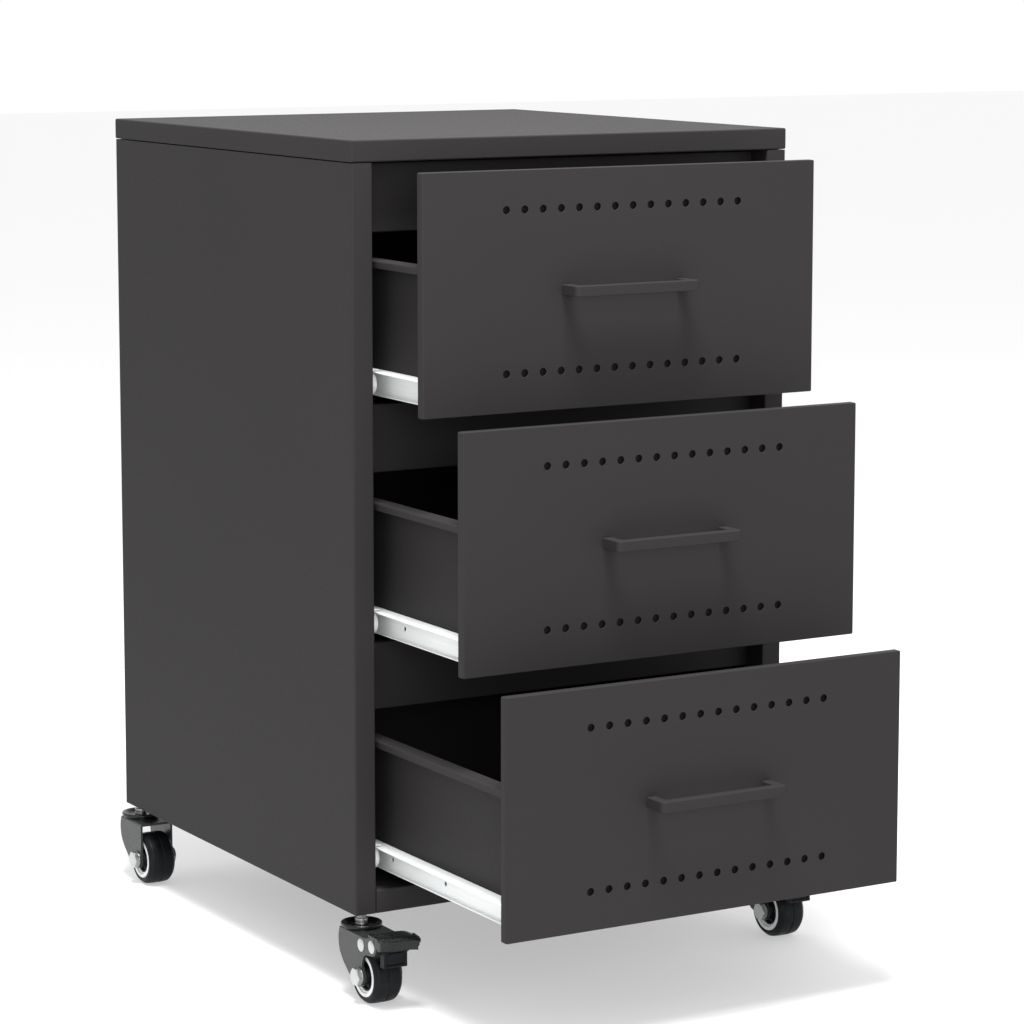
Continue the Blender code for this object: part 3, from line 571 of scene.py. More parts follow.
def place_copy(obj, name, offset):
    """A copy with its own mesh, moved by an offset that goes into the mesh."""
    only(obj)
    bpy.ops.object.duplicate()
    twin = bpy.context.active_object
    bpy.ops.transform.translate(value=offset)
    bpy.ops.object.transform_apply(location=True, rotation=False, scale=False)
    twin.name = twin.data.name = name
    return twin


def smooth(obj, flat_area=None):
    """Smooth shading with sharp creases kept; faces above an area are shaded as true flats."""
    only(obj)
    bpy.ops.object.shade_smooth_by_angle(angle=math.radians(38))
    if flat_area:
        for face in obj.data.polygons:
            face.use_smooth = face.area < flat_area
    modifier(obj, "WEIGHTED_NORMAL", keep_sharp=True, weight=80)
    return obj


def settle(obj, finish, body, node):
    """Paint a finished piece, let it ride on its body, and let it stand for its solid."""
    obj.data.materials.clear()
    obj.data.materials.append(finish_of(finish))
    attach(obj, body)
    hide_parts(node)


def spread_over(obj, finish, places):
    """Settle a copy of a piece at each (name, node, body); the piece is modelled at the first node."""
    smooth(obj)
    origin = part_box(places[0][1])[0]
    for name, node, body in places:
        settle(place_copy(obj, name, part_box(node)[0] - origin), finish, body, node)
    bpy.data.objects.remove(obj, do_unlink=True)


def in_drawers(part):
    """Name, node and body of a part that every drawer has."""
    return [(level + "_" + part, level + "_drawer_" + part, level + "_drawer") for level in LEVELS]


class CabinetPart:
    """What the operators share."""

    bl_options = {"REGISTER", "UNDO"}

    @property
    def sizes(self):
        return bpy.context.scene.cabinet_sizes

    def fold(self, node, name):
        """A folded-sheet solid of the frame with its bends and cut edges rounded."""
        sizes = self.sizes
        obj = copy_of(node, name)
        round_folds(obj, sizes.fold_radius, 0.0004, sizes.cut_radius)
        return obj


# ------------------------------------------------------------------ body
class CABINET_OT_body(CabinetPart, bpy.types.Operator):
    """Model the folded top, sides, back, bottom and cross rails"""

    bl_idname = "cabinet.body"
    bl_label = "Body"

    def execute(self, context):
        panels = {
            "top_panel": "top_cover", "left_side_panel": "left_side", "right_side_panel": "right_side",
            "back_panel": "back_cover", "bottom_panel": "bottom_tray", "front_rail_lower": "cross_rail_lower",
            "front_rail_upper": "cross_rail_upper", "front_rail_top": "cross_rail_top",
        }
        for node, name in panels.items():
            settle(smooth(self.fold(node, name)), "paint", "cabinet", node)
        return {"FINISHED"}


# ------------------------------------------------------------------ drawers
BOW_OUTER, BOW_INNER = 0.0042, 0.0018   # radii of the handle's two bends


class CABINET_OT_fronts(CabinetPart, bpy.types.Operator):
    """Model the drawer fronts: double-skinned, with two rows of punched holes"""

    bl_idname = "cabinet.fronts"
    bl_label = "Drawer fronts"

    def execute(self, context):
        sizes = self.sizes
        low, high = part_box("lower_drawer_front")
        obj = cuboid("drawer_front", low, high)
        modifier(obj, "SOLIDIFY", thickness=SHEET, offset=-1.0, use_even_offset=True)
        bpy.ops.object.select_all(action="DESELECT")
        rows = (low.z + sizes.hole_inset, high.z - sizes.hole_inset)
        first = (low.x + high.x) / 2 - (sizes.hole_count - 1) / 2 * sizes.hole_pitch
        bpy.ops.mesh.primitive_cylinder_add(
            vertices=28, radius=sizes.hole_radius, depth=4 * SHEET,
            location=(first, low.y, rows[0]), rotation=(math.pi / 2, 0, 0))
        punch = bpy.context.active_object
        bpy.ops.object.transform_apply(location=True, rotation=True, scale=True)
        modifier(
            punch, "ARRAY", count=sizes.hole_count, use_relative_offset=False, use_constant_offset=True,
            constant_offset_displace=(sizes.hole_pitch, 0, 0))
        modifier(
            punch, "ARRAY", count=2, use_relative_offset=False, use_constant_offset=True,
            constant_offset_displace=(0, 0, rows[1] - rows[0]))
        cut_with(obj, punch)
        round_folds(obj, sizes.fold_radius, 0.0003, sizes.cut_radius)
        spread_over(obj, "paint", in_drawers("front"))
        return {"FINISHED"}


class CABINET_OT_handles(CabinetPart, bpy.types.Operator):
    """Model the bow handles of bent square bar"""

    bl_idname = "cabinet.handles"
    bl_label = "Handles"

    def execute(self, context):
        low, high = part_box("lower_drawer_handle")
        bar = high.z - low.z
        obj = cuboid("handle", low, (high.x, low.y + bar, high.z))
        edit(obj)
        for level in (low.x + bar, high.x - bar):
            slice_at(0, level)
        back = flat_at(1, low.y + bar)
        reach = (high.x - low.x) / 2 - bar
        pick(obj, "FACE", lambda face: back(face) and abs(face.calc_center_median().x) > reach)
        bpy.ops.mesh.extrude_region_move(TRANSFORM_OT_translate={"value": (0, high.y - low.y - bar, 0)})
        done()
        upright = lambda edge: abs(edge.verts[0].co.z - edge.verts[1].co.z) > bar / 2
        outer = lambda edge: upright(edge) and edge.verts[0].co.y < low.y + NEAR and sharp(edge)
        inner = lambda edge: upright(edge) and abs(edge.verts[0].co.y - low.y - bar) < NEAR and sharp(edge)
        bevel_edges(obj, outer, BOW_OUTER, 8)
        bevel_edges(obj, inner, BOW_INNER, 5)
        at_foot = lambda edge: all(vert.co.y > high.y - NEAR for vert in edge.verts)
        bevel_edges(
            obj, lambda edge: sharp(edge, 60) and not upright(edge) and not at_foot(edge),
            self.sizes.handle_radius, 4)
        spread_over(obj, "paint", in_drawers("handle"))
        return {"FINISHED"}


class CABINET_OT_trays(CabinetPart, bpy.types.Operator):
    """Model the drawer trays with their outward lips"""

    bl_idname = "cabinet.trays"
    bl_label = "Drawer trays"

    def execute(self, context):
        spread_over(self.fold("lower_drawer_tray", "tray"), "paint", in_drawers("tray"))
        return {"FINISHED"}


class CABINET_OT_slides(CabinetPart, bpy.types.Operator):
    """Model the cabinet and drawer members of the roller slides"""

    bl_idname = "cabinet.slides"
    bl_label = "Slides"

    def execute(self, context):
        for side in SIDES:
            for kind in ("cabinet", "drawer"):
                tail = "_" + side + "_" + kind + "_slide"
                obj = copy_of("lower" + tail, kind + "_member")
                round_folds(obj, 0.0008, 0.0003, 0.0002)
                places = []
                for level in LEVELS:
                    body = "cabinet" if kind == "cabinet" else level + "_drawer"
                    places.append((level + "_" + side + "_" + kind + "_member", level + tail, body))
                spread_over(obj, "enamel", places)
        return {"FINISHED"}


class CABINET_OT_rollers(CabinetPart, bpy.types.Operator):
    """Model the slides' nylon rollers"""

    bl_idname = "cabinet.rollers"
    bl_label = "Rollers"

    def execute(self, context):
        for where in ("front", "rear"):
            tail = "_" + where + "_roller"
            low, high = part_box("lower_left" + tail)
            half, radius, bore = (high.x - low.x) / 2, (high.z - low.z) / 2, 0.0023
            dish, edge = 0.0006, 0.0003
            face = [
                (bore, half), (bore + 0.0018, half, edge), (bore + 0.0022, half - dish, edge),
                (radius - 0.0022, half - dish, edge), (radius - 0.0018, half, edge), (radius, half, 0.0007),
            ]
            other = [(distance, -level, *corner) for distance, level, *corner in face]
            profile = rounded(other + face[::-1], closed=True, steps=3)
            obj = turned("roller", profile, 0, (low + high) / 2, 48)
            places = []
            for level in LEVELS:
                for side in SIDES:
                    label = level + "_" + side
                    places.append((label + tail + "_tyre", label + tail, label + tail))
            spread_over(obj, "nylon", places)
        return {"FINISHED"}


# ------------------------------------------------------------------ casters
BODY_UNDERSIDE = 0.0645
TRAIL = 0.0245                  # swivel axis to wheel axis
AXLE_HEIGHT = 0.022
GAP = 0.0003                    # running clearance beside a turning part
FORK_TOP = 0.0535
FORK_SHEET = 0.0018
FORK_HALF = 0.0148              # half of the fork's width
FORK_INSIDE = FORK_HALF - FORK_SHEET
LEG_FLAT = 1e-5                 # area above which a face of the legs is shaded as a flat
FORK_REAR = 0.010
FORK_LOBE = 0.008               # radius of a leg about the axle
PLATE_REAR = 0.007
RACEWAY_TOP = 0.0573
RACEWAY_DISH = RACEWAY_TOP - 0.0022
RACEWAY_RIM, RACEWAY_CUP = 0.0160, 0.0146
PIN_HOLE = 0.0047
BRAKE_PIVOT = (-0.0439, 0.0494)
BRAKE_STOP = (-0.0268, 0.0469)
BRAKE_LOBE = 0.0072             # radius of a leg about the brake's pivot
RIVET_RADIUS = 0.0050
RIVET_HEAD = 0.0011
PIN_RADIUS = 0.002
TREAD_HALF = 0.012              # half of the tyre's width
HUB_RADIUS = 0.0065
RING_RADII = (0.0120, 0.0167)
RING_DEPTH = 0.0080             # how far the ring and its seat reach in, from the wheel's middle
SPOKES = 6
BOLT_RADIUS = 0.0075            # of the bolt heads, over their corners
SHAFT_RADIUS = 0.003
SHAFT_END = 0.0007              # how far the shaft stands out of its nut
WASHER = 0.0006
COLLAR_RADIUS, COLLAR_WAIST = 0.0050, 0.0045
KING_PIN_HEAD, KING_PIN_RADIUS = 0.0060, 0.0040
THREAD_PITCH, THREAD_CREST, THREAD_ROOT = 0.00125, 0.0040, 0.0034
PEDAL_SHEET = 0.0018
PEDAL_HALF = 0.018              # half of the foot plate's width
PEDAL_FRONT, PEDAL_REAR = BRAKE_PIVOT[0] - 0.0193, BRAKE_PIVOT[0] + 0.0026
PEDAL_TOP = BRAKE_PIVOT[1] + 0.0103
SHOE_FRONT = BRAKE_PIVOT[0] - 0.0113
CURL_LENGTH = 0.0070            # of the foot plate's curled front


def caster_axis(corner):
    """The swivel axis of a caster, as a point on the floor."""
    low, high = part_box(corner + "_caster_stem")
    return Vector(((low.x + high.x) / 2, (low.y + high.y) / 2, 0))


def arc(centre, radius, start, end, steps):
    """Points of an arc, in degrees counted from the first axis towards the second."""
    angles = [math.radians(start + (end - start) * step / steps) for step in range(steps + 1)]
    return [(centre[0] + radius * math.cos(angle), centre[1] + radius * math.sin(angle)) for angle in angles]


def mirrored(obj):
    """Add a piece's mirror image across its own swivel plane at x = 0."""
    modifier(obj, "MIRROR", use_axis=(True, False, False), use_clip=False, use_mirror_merge=False)
    edit_all(obj)
    bpy.ops.mesh.normals_make_consistent(inside=False)
    done()
    return obj


def at_casters(obj, finish, tail, body_tail, label, corners=CORNERS, flat_area=None):
    """Copy a piece modelled about its swivel axis at x = 0, y = 0 to the casters."""
    smooth(obj, flat_area)
    for corner in corners:
        copy = place_copy(obj, corner + label, caster_axis(corner))
        settle(copy, finish, "cabinet" if body_tail is None else corner + body_tail, corner + tail)
    bpy.data.objects.remove(obj, do_unlink=True)


class CABINET_OT_forks(CabinetPart, bpy.types.Operator):
    """Model the stamped forks with their raceways and the brake rivets"""

    bl_idname = "cabinet.forks"
    bl_label = "Forks"

    def legs(self, braked):
        """The U of plate and legs, with its bends rounded."""
        front = -TRAIL - FORK_LOBE
        outline = rounded([
            (PLATE_REAR + 0.001, FORK_TOP), (FORK_REAR, FORK_TOP - 0.0060, 0.016),
            (FORK_REAR, FORK_TOP - 0.0115, 0.020), (FORK_REAR - 0.0017, FORK_TOP - 0.0190, 0.013),
            (FORK_REAR - 0.0076, FORK_TOP - 0.0258, 0.020), (FORK_REAR - 0.0170, AXLE_HEIGHT - 0.0020),
        ], steps=8)
        outline += arc((-TRAIL, AXLE_HEIGHT), FORK_LOBE, -40, -180, 18)
        if braked:
            outline += rounded([
                (front, AXLE_HEIGHT + 0.001), (front + 0.004, AXLE_HEIGHT + 0.0080, 0.006),
                (front + 0.004, AXLE_HEIGHT + 0.0120, 0.005), (front, AXLE_HEIGHT + 0.0185, 0.004),
                (BRAKE_PIVOT[0], BRAKE_PIVOT[1] - BRAKE_LOBE),
            ])
            outline += arc(BRAKE_PIVOT, BRAKE_LOBE, -92, -268, 20)
        outline.append((front, FORK_TOP))
        obj = outline_plate("fork_legs", outline, 0, -FORK_HALF, FORK_HALF)
        clear = 0.1                                      # beyond the fork on every side
        for name, low, high in (
                ("gap", (-clear, -clear), (clear, FORK_TOP - FORK_SHEET)),
                ("rear_gap", (PLATE_REAR, 0), (clear, clear)),
                ("front_gap", (-clear, 0), (front, clear))):
            cut_with(obj, cuboid(name, (-FORK_INSIDE, *low), (FORK_INSIDE, *high)))
        bend = lambda edge: sharp(edge, 60) and all(
            abs(vert.co.x) > FORK_HALF - NEAR and vert.co.z > FORK_TOP - NEAR for vert in edge.verts)
        bevel_edges(obj, bend, 0.0016, 5)
        fine = lambda edge: sharp(edge, 40) and edge.is_convex
        bevel_edges(obj, fine, 0.00028, 2)
        return obj

    def raceway(self):
        """Round housing of the swivel bearing: a rolled rim, a dished top and the bearing's lower cup."""
        rim_foot, foot = FORK_TOP + 0.0010, FORK_TOP - 0.0002
        profile = rounded([
            (PIN_HOLE, RACEWAY_DISH), (0.0105, RACEWAY_DISH, 0.0016), (0.0132, RACEWAY_TOP, 0.0012),
            (RACEWAY_RIM, RACEWAY_TOP, 0.0010), (RACEWAY_RIM, rim_foot, 0.0006),
            (RACEWAY_CUP, rim_foot, 0.0003), (RACEWAY_CUP, foot), (PIN_HOLE, foot),
        ], closed=True, steps=6)
        return turned("raceway", profile, 2, (0, 0, 0), 96)

    def rivet(self, name, place):
        """A domed rivet head with a narrow flange, on the fork's left side."""
        face, seat = -FORK_HALF, 0.001 - FORK_HALF
        profile = [(0, seat), (RIVET_RADIUS, seat), (RIVET_RADIUS, face - RIVET_HEAD * 0.25)]
        for degree in range(0, 90, 10):
            angle = math.radians(degree)
            profile.append((
                RIVET_RADIUS * math.cos(angle) * 0.94, face - RIVET_HEAD * (0.3 + 0.7 * math.sin(angle))))
        profile.append((0, face - RIVET_HEAD))
        return turned(name, profile, 0, (0, *place), 40, closed=False)

    def pin(self, place):
        """The left half of the pin that a pair of rivet heads shares."""
        end = FORK_SHEET / 2 - FORK_HALF
        profile = [(0, end), (PIN_RADIUS, end), (PIN_RADIUS, 0), (0, 0)]
        return turned("pin", profile, 0, (0, *place), 24, closed=False)

    def execute(self, context):
        for braked, corners in ((True, BRAKED), (False, CORNERS[2:])):
            at_casters(self.legs(braked), "fork", "_caster_fork", "_caster", "_fork", corners, LEG_FLAT)
        at_casters(self.raceway(), "gloss", "_caster_fork", "_caster", "_raceway")
        rivets = mirrored(join("rivets", [
            self.rivet("pivot_rivet", BRAKE_PIVOT), self.rivet("stop_rivet", BRAKE_STOP),
            self.pin(BRAKE_PIVOT), self.pin(BRAKE_STOP),
        ]))
        at_casters(rivets, "zinc", "_caster_fork", "_caster", "_brake_rivets", BRAKED)
        return {"FINISHED"}


class CABINET_OT_wheels(CabinetPart, bpy.types.Operator):
    """Model the wheels: tyre, pale ring and hub"""

    bl_idname = "cabinet.wheels"
    bl_label = "Wheels"

    def execute(self, context):
        low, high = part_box("front_left_caster_wheel")
        half, radius = TREAD_HALF, (high.z - low.z) / 2
        centre = (0, -TRAIL, AXLE_HEIGHT)
        inner, outer = RING_RADII
        side = [
            (outer, half - 0.0030), (outer, half - 0.0003, 0.0003), (outer + 0.0012, half, 0.0006),
            (radius - 0.0030, half, 0.0022), (radius - 0.0004, half - 0.0030, 0.0020),
            (radius, half - 0.0075, 0.004),
        ]
        groove = [(radius, 0.0011, 0.0003), (radius - 0.0006, 0.0006, 0.0002)]
        half_profile = rounded(side + groove + [(radius - 0.0006, 0)], steps=5)
        back = [(distance, -along) for distance, along in reversed(half_profile[:-1])]
        tyre = turned("tyre", half_profile + back, 0, centre, 112)
        at_casters(tyre, "tyre", "_caster_wheel", "_wheel", "_tyre")

        ring = [
            (inner, RING_DEPTH), (inner, half - 0.0018, 0.0003), (inner + 0.0014, half - 0.0014, 0.0003),
            (inner + 0.0016, half - 0.0003, 0.0003), (outer - 0.0002, half - 0.0002, 0.0004),
            (outer - 0.0001, half - 0.0014), (outer - 0.0001, RING_DEPTH),
        ]
        pale = turned("wheel_ring", rounded(ring, closed=True, steps=4), 0, centre, 96)
        at_casters(mirrored(pale), "ring", "_caster_wheel", "_wheel", "_ring")

        hub_face, bore = FORK_INSIDE - 0.0006, SHAFT_RADIUS + GAP
        hub = [
            (bore, 0.0), (bore, hub_face), (HUB_RADIUS - 0.0008, hub_face, 0.0004),
            (HUB_RADIUS, hub_face - 0.0012, 0.0006), (HUB_RADIUS + 0.0008, half - 0.0040, 0.0010),
            (inner - 0.0022, half - 0.0042, 0.0008), (inner - 0.0012, half - 0.0024, 0.0004),
            (inner, half - 0.0026, 0.0003), (inner, 0.0),
        ]
        core = turned("wheel_hub", rounded(hub, steps=4), 0, centre, 80, closed=False)
        parts = [core]
        thick, sunk = 0.00065, 0.0006
        for index in range(SPOKES):
            rib = cuboid(
                "rib", (half - 0.0060, -TRAIL - thick, AXLE_HEIGHT + HUB_RADIUS - sunk),
                (half - 0.0027, -TRAIL + thick, AXLE_HEIGHT + inner - sunk))
            bevel_edges(rib, sharp, 0.0003, 2)
            edit_all(rib)
            bpy.ops.transform.rotate(
                value=(index + 0.5) * 2 * math.pi / SPOKES, orient_axis="X", center_override=centre)
            done()
            parts.append(rib)
        core = mirrored(join("wheel_hub", parts))
        edit_all(core)
        bpy.ops.mesh.remove_doubles(threshold=2e-6)
        done()
        at_casters(core, "tyre", "_caster_wheel", "_wheel", "_hub")
        return {"FINISHED"}


def hexagon(name, radius, height):
    """A hexagon head standing on z = 0, with the corners of its top turned down to a circle."""
    bpy.ops.object.select_all(action="DESELECT")
    bpy.ops.mesh.primitive_cylinder_add(vertices=6, radius=radius, depth=height, location=(0, 0, height / 2))
    obj = bpy.context.active_object
    bpy.ops.object.transform_apply(location=True, rotation=True, scale=True)
    obj.name = obj.data.name = name
    circle = 0.95 * radius * math.cos(math.pi / 6)
    blunt = turned("chamfer", [
        (0, -height), (2 * radius, -height), (2 * radius, height - (2 * radius - circle) * 0.5),
        (circle, height), (0, height + 0.0001)], 2, (0, 0, 0), 72, closed=False)
    cut_with(obj, blunt, "INTERSECT")
    bevel_edges(obj, lambda edge: sharp(edge, 20), 0.00016, 2)
    return obj


def laid_along_x(obj, side, place):
    """Turn a part that stands on z = 0 to point along X on one side, and put it at (x, y, z)."""
    edit_all(obj)
    bpy.ops.transform.rotate(value=-side * math.pi / 2, orient_axis="Y", center_override=(0, 0, 0))
    bpy.ops.transform.translate(value=place)
    done()


class CABINET_OT_axles(CabinetPart, bpy.types.Operator):
    """Model the axle bolts with their hexagon heads and nuts"""

    bl_idname = "cabinet.axles"
    bl_label = "Axle bolts"

    def execute(self, context):
        low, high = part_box("front_left_caster_axle")
        reach = (high.x - low.x) / 2
        seat = FORK_HALF + GAP
        parts = []
        for side in SIDES.values():
            outer = reach - SHAFT_END if side > 0 else reach
            head = hexagon("bolt_head", BOLT_RADIUS, outer - seat - WASHER)
            foot = turned("washer_face", rounded([
                (0.0029, 0), (0.0066, 0), (0.0066, WASHER, 0.0002), (0.0029, WASHER + 0.0002),
            ], closed=True, steps=3), 2, (0, 0, -WASHER), 48)
            head = join("bolt_head", [head, foot])
            laid_along_x(head, side, (side * (seat + WASHER), -TRAIL, AXLE_HEIGHT))
            parts.append(head)
        start = -seat - 0.001                            # inside the left head
        parts.append(turned("bolt_shaft", [
            (0, start), (SHAFT_RADIUS, start), (SHAFT_RADIUS, reach - SHAFT_END), (0.0022, reach), (0, reach),
        ], 0, (0, -TRAIL, AXLE_HEIGHT), 40, closed=False))
        at_casters(join("axle_bolt", parts), "zinc", "_caster_axle", "_caster", "_axle_bolt")
        return {"FINISHED"}


class CABINET_OT_stems(CabinetPart, bpy.types.Operator):
    """Model the threaded stems, collars, king pins and nuts"""

    bl_idname = "cabinet.stems"
    bl_label = "Stems"

    def execute(self, context):
        low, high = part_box("front_left_caster_stem")
        foot = FORK_TOP - FORK_SHEET - GAP
        brim = foot - 0.0008                             # where the king pin's head starts to dome
        profile = [(0, low.z)]
        for degree in (20, 40, 60, 80):
            angle = math.radians(degree)
            profile.append((KING_PIN_HEAD * math.sin(angle), brim - (brim - low.z) * math.cos(angle)))
        collar = RACEWAY_DISH + GAP
        neck = BODY_UNDERSIDE - 0.0040
        profile += rounded([
            (KING_PIN_HEAD, brim), (KING_PIN_HEAD, foot, 0.0003),
            (KING_PIN_RADIUS, foot), (KING_PIN_RADIUS, collar),
            (COLLAR_RADIUS, collar, 0.0002), (COLLAR_RADIUS, collar + 0.0012, 0.0003),
            (COLLAR_WAIST, collar + 0.0014, 0.0001), (COLLAR_WAIST, collar + 0.0020, 0.0001),
            (COLLAR_RADIUS, collar + 0.0022, 0.0003), (COLLAR_RADIUS, neck - 0.0003, 0.0003),
            (THREAD_ROOT, neck)], steps=3)
        height = neck
        while height + THREAD_PITCH < high.z - 0.0012:
            for radius, part in (
                    (THREAD_ROOT, 0.1), (THREAD_CREST, 0.42), (THREAD_CREST, 0.58), (THREAD_ROOT, 0.9)):
                profile.append((radius, height + part * THREAD_PITCH))
            height += THREAD_PITCH
        profile += [(THREAD_ROOT, high.z - 0.0008), (0.0026, high.z), (0, high.z)]
        stem = turned("stem", profile, 2, (0, 0, 0), 48, closed=False)
        nut = hexagon("nut", 0.0065, 0.005)
        edit_all(nut)
        bpy.ops.transform.translate(value=(0, 0, BODY_UNDERSIDE + 0.0013))
        done()
        at_casters(join("stem", [stem, nut]), "zinc", "_caster_stem", None, "_stem")
        return {"FINISHED"}


class CABINET_OT_pedals(CabinetPart, bpy.types.Operator):
    """Model the foot brakes: dished plate, cheeks, arms and shoe"""

    bl_idname = "cabinet.pedals"
    bl_label = "Brake pedals"

    def sag(self, obj, curl):
        """Dish a part of the pedal across its middle, curl its front and flare its right end."""
        edit(obj, "VERT")
        shape = bmesh.from_edit_mesh(obj.data)
        for vert in shape.verts:
            across = vert.co.x / PEDAL_HALF
            ahead = max(0.0, (PEDAL_FRONT + CURL_LENGTH - vert.co.y) / CURL_LENGTH)
            flare = max(0.0, across) ** 2
            vert.co.z -= 0.0013 * (1 - across * across) ** 2 + curl * ahead * ahead + 0.0030 * flare
            vert.co.y -= 0.0024 * flare * (PEDAL_REAR - vert.co.y) / (PEDAL_REAR - PEDAL_FRONT)
        bmesh.update_edit_mesh(obj.data)
        done()

    def slices(self, axis, start, end, count):
        """In edit mode, cut a part into equal strips along an axis."""
        for step in range(1, count):
            slice_at(axis, start + (end - start) * step / count)

    def plate(self, foot):
        """The foot plate: rounded corners, a saddle across its middle and a curled front edge."""
        obj = cuboid("foot_plate", (-PEDAL_HALF, PEDAL_FRONT, foot), (PEDAL_HALF, PEDAL_REAR, PEDAL_TOP))
        upright = lambda edge: abs(edge.verts[0].co.z - edge.verts[1].co.z) > PEDAL_SHEET / 2
        bevel_edges(obj, upright, 0.0045, 7)
        edit(obj)
        self.slices(0, -PEDAL_HALF, PEDAL_HALF, 24)
        self.slices(1, PEDAL_FRONT, PEDAL_REAR, 14)
        done()
        soften(obj, 0.0005, 3)
        self.sag(obj, 0.0022)
        return obj

    def lip(self, foot):
        """The edge that hangs from the foot plate's front."""
        front = PEDAL_FRONT + 0.0003
        obj = cuboid(
            "lip", (0.0010 - PEDAL_HALF, front, foot - 0.0060),
            (PEDAL_HALF - 0.0035, front + PEDAL_SHEET, foot))
        edit(obj)
        self.slices(0, -PEDAL_HALF, PEDAL_HALF, 16)
        done()
        soften(obj, 0.0004, 3)
        self.sag(obj, 0.0018)
        return obj

    def side_plate(self, name, outline, side, outer, radius, segments):
        """A plate of the pedal that stands across X, with its outer face at a distance from the middle."""
        obj = outline_plate(name, outline, 0, *sorted((side * outer, side * (outer - PEDAL_SHEET))))
        soften(obj, radius, segments)
        return obj

    def shoe(self, height, foot):
        """The brake shoe: a block with a framed front and a rib across it."""
        obj = cuboid(
            "shoe", (-0.010, SHOE_FRONT, height - 0.0153), (0.010, SHOE_FRONT + 0.0066, foot - 0.0003))
        edit(obj)
        pick(obj, "FACE", flat_at(1, SHOE_FRONT))
        bpy.ops.mesh.inset(thickness=0.0022, use_even_offset=True)
        bpy.ops.mesh.extrude_region_move(TRANSFORM_OT_translate={"value": (0, 0.0010, 0)})
        done()
        soften(obj, 0.0007, 4)
        rib = cuboid(
            "rib", (-0.0055, SHOE_FRONT - 0.0001, height - 0.0052),
            (0.0055, SHOE_FRONT + 0.0016, height - 0.0040))
        soften(rib, 0.0003, 3)
        return join("shoe", [obj, rib])

    def execute(self, context):
        pivot, height = BRAKE_PIVOT
        foot = PEDAL_TOP - PEDAL_SHEET
        cheek = rounded([
            (PEDAL_FRONT + 0.0012, foot - 0.0004), (PEDAL_FRONT + 0.0020, PEDAL_TOP - 0.0115, 0.0022),
            (PEDAL_FRONT + 0.0085, PEDAL_TOP - 0.0080, 0.0030), (PEDAL_FRONT + 0.0105, foot + 0.0006),
        ], closed=True, steps=6)
        arm = arc(BRAKE_PIVOT, 0.0045, -180, 0, 16)
        arm += [(pivot + 0.0045, height + 0.003), (PEDAL_REAR - 0.0005, foot - 0.0005),
                (SHOE_FRONT, foot - 0.0005), (SHOE_FRONT, height)]
        parts = [self.plate(foot)]
        for side in SIDES.values():
            parts.append(self.side_plate("cheek", cheek, side, PEDAL_HALF - 0.0008, 0.0004, 3))
            parts.append(self.side_plate("arm", arm, side, FORK_INSIDE - 0.0006, 0.0003, 2))
        parts.append(self.lip(foot))
        parts.append(outline_plate("bridge", [
            (SHOE_FRONT, foot - 0.0004), (SHOE_FRONT, height + 0.0035),
            (SHOE_FRONT + PEDAL_SHEET, height + 0.0030), (SHOE_FRONT + PEDAL_SHEET, foot - 0.0004),
        ], 0, 0.001 - FORK_INSIDE, FORK_INSIDE - 0.001))
        shoe = self.shoe(height, foot)
        at_casters(join("pedal", parts), "gloss", "_brake_pedal", "_pedal", "_pedal", BRAKED)
        at_casters(shoe, "tyre", "_brake_pedal", "_pedal", "_brake_shoe", BRAKED)
        return {"FINISHED"}


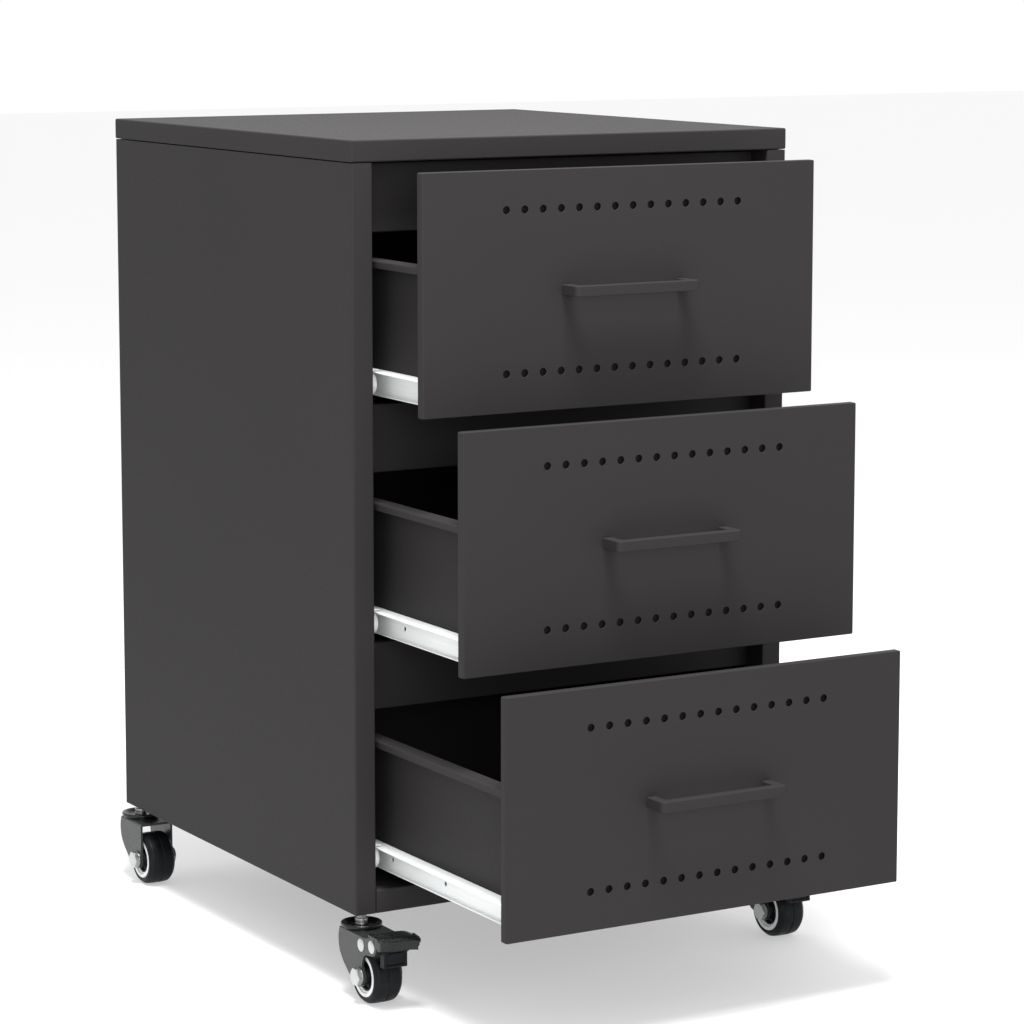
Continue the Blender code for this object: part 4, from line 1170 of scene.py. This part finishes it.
# ------------------------------------------------------------------ stage
class CABINET_OT_stage(bpy.types.Operator):
    """Set the floor, the soft lights and the camera"""

    bl_idname = "cabinet.stage"
    bl_label = "Stage"

    def light(self, name, place, size, power):
        """A square soft light that faces the cabinet's middle."""
        bpy.ops.object.select_all(action="DESELECT")
        bpy.ops.object.light_add(type="AREA", location=place)
        lamp = bpy.context.active_object
        lamp.name = lamp.data.name = name
        lamp.data.shape = "RECTANGLE"
        lamp.data.size = lamp.data.size_y = size
        lamp.data.energy = power
        lamp.rotation_euler = (Vector((0, 0, 0.3)) - Vector(place)).to_track_quat("-Z", "Y").to_euler()

    def execute(self, context):
        scene = context.scene
        bpy.ops.object.select_all(action="DESELECT")
        bpy.ops.mesh.primitive_plane_add(size=30)
        ground = context.active_object
        ground.name = ground.data.name = "floor"
        ground.data.materials.append(finish_of("floor"))
        world = bpy.data.worlds.new("studio")
        scene.world = world
        world.use_nodes = True
        background = world.node_tree.nodes["Background"]
        background.inputs["Color"].default_value = (1, 1, 1, 1)
        background.inputs["Strength"].default_value = 1.0
        self.light("key", (-1.1, -2.7, 0.9), 1.0, 26)
        self.light("overhead", (-0.36, -0.6, 2.4), 0.8, 112)
        azimuth, pitch = math.radians(30.307), math.radians(8.06)
        bpy.ops.object.camera_add(
            location=(-1.4065, -2.4189, 0.7846), rotation=(math.pi / 2 - pitch, 0, -azimuth))
        camera = context.active_object
        camera.name = camera.data.name = "camera"
        camera.data.lens = 123.37
        camera.data.sensor_width = 36
        camera.data.shift_y = -0.05
        scene.camera = camera
        scene.view_settings.view_transform = "Standard"
        return {"FINISHED"}


PIECES = (
    CABINET_OT_body, CABINET_OT_fronts, CABINET_OT_handles, CABINET_OT_trays, CABINET_OT_slides,
    CABINET_OT_rollers, CABINET_OT_forks, CABINET_OT_wheels, CABINET_OT_axles, CABINET_OT_stems,
    CABINET_OT_pedals, CABINET_OT_stage,
)


class CABINET_PT_sidebar(bpy.types.Panel):
    """Lists the cabinet's sizes, colours and pieces"""

    bl_idname = "CABINET_PT_sidebar"
    bl_label = "Rolling pedestal cabinet"
    bl_space_type = "VIEW_3D"
    bl_region_type = "UI"
    bl_category = "Cabinet"

    def draw(self, context):
        for settings in (context.scene.cabinet_sizes, context.scene.cabinet_colours):
            box = self.layout.box()
            for name in settings.__annotations__:
                box.prop(settings, name)
        column = self.layout.column()
        for piece in PIECES:
            column.operator(piece.bl_idname)


CLASSES = (CabinetSizes, CabinetColours) + PIECES + (CABINET_PT_sidebar,)


def register():
    for item in CLASSES:
        bpy.utils.register_class(item)
    bpy.types.Scene.cabinet_sizes = bpy.props.PointerProperty(type=CabinetSizes)
    bpy.types.Scene.cabinet_colours = bpy.props.PointerProperty(type=CabinetColours)


def unregister():
    del bpy.types.Scene.cabinet_colours
    del bpy.types.Scene.cabinet_sizes
    for item in reversed(CLASSES):
        bpy.utils.unregister_class(item)


def main():
    register()
    for piece in PIECES:
        group, name = piece.bl_idname.split(".")
        getattr(getattr(bpy.ops, group), name)()


if __name__ == "__main__":
    main()
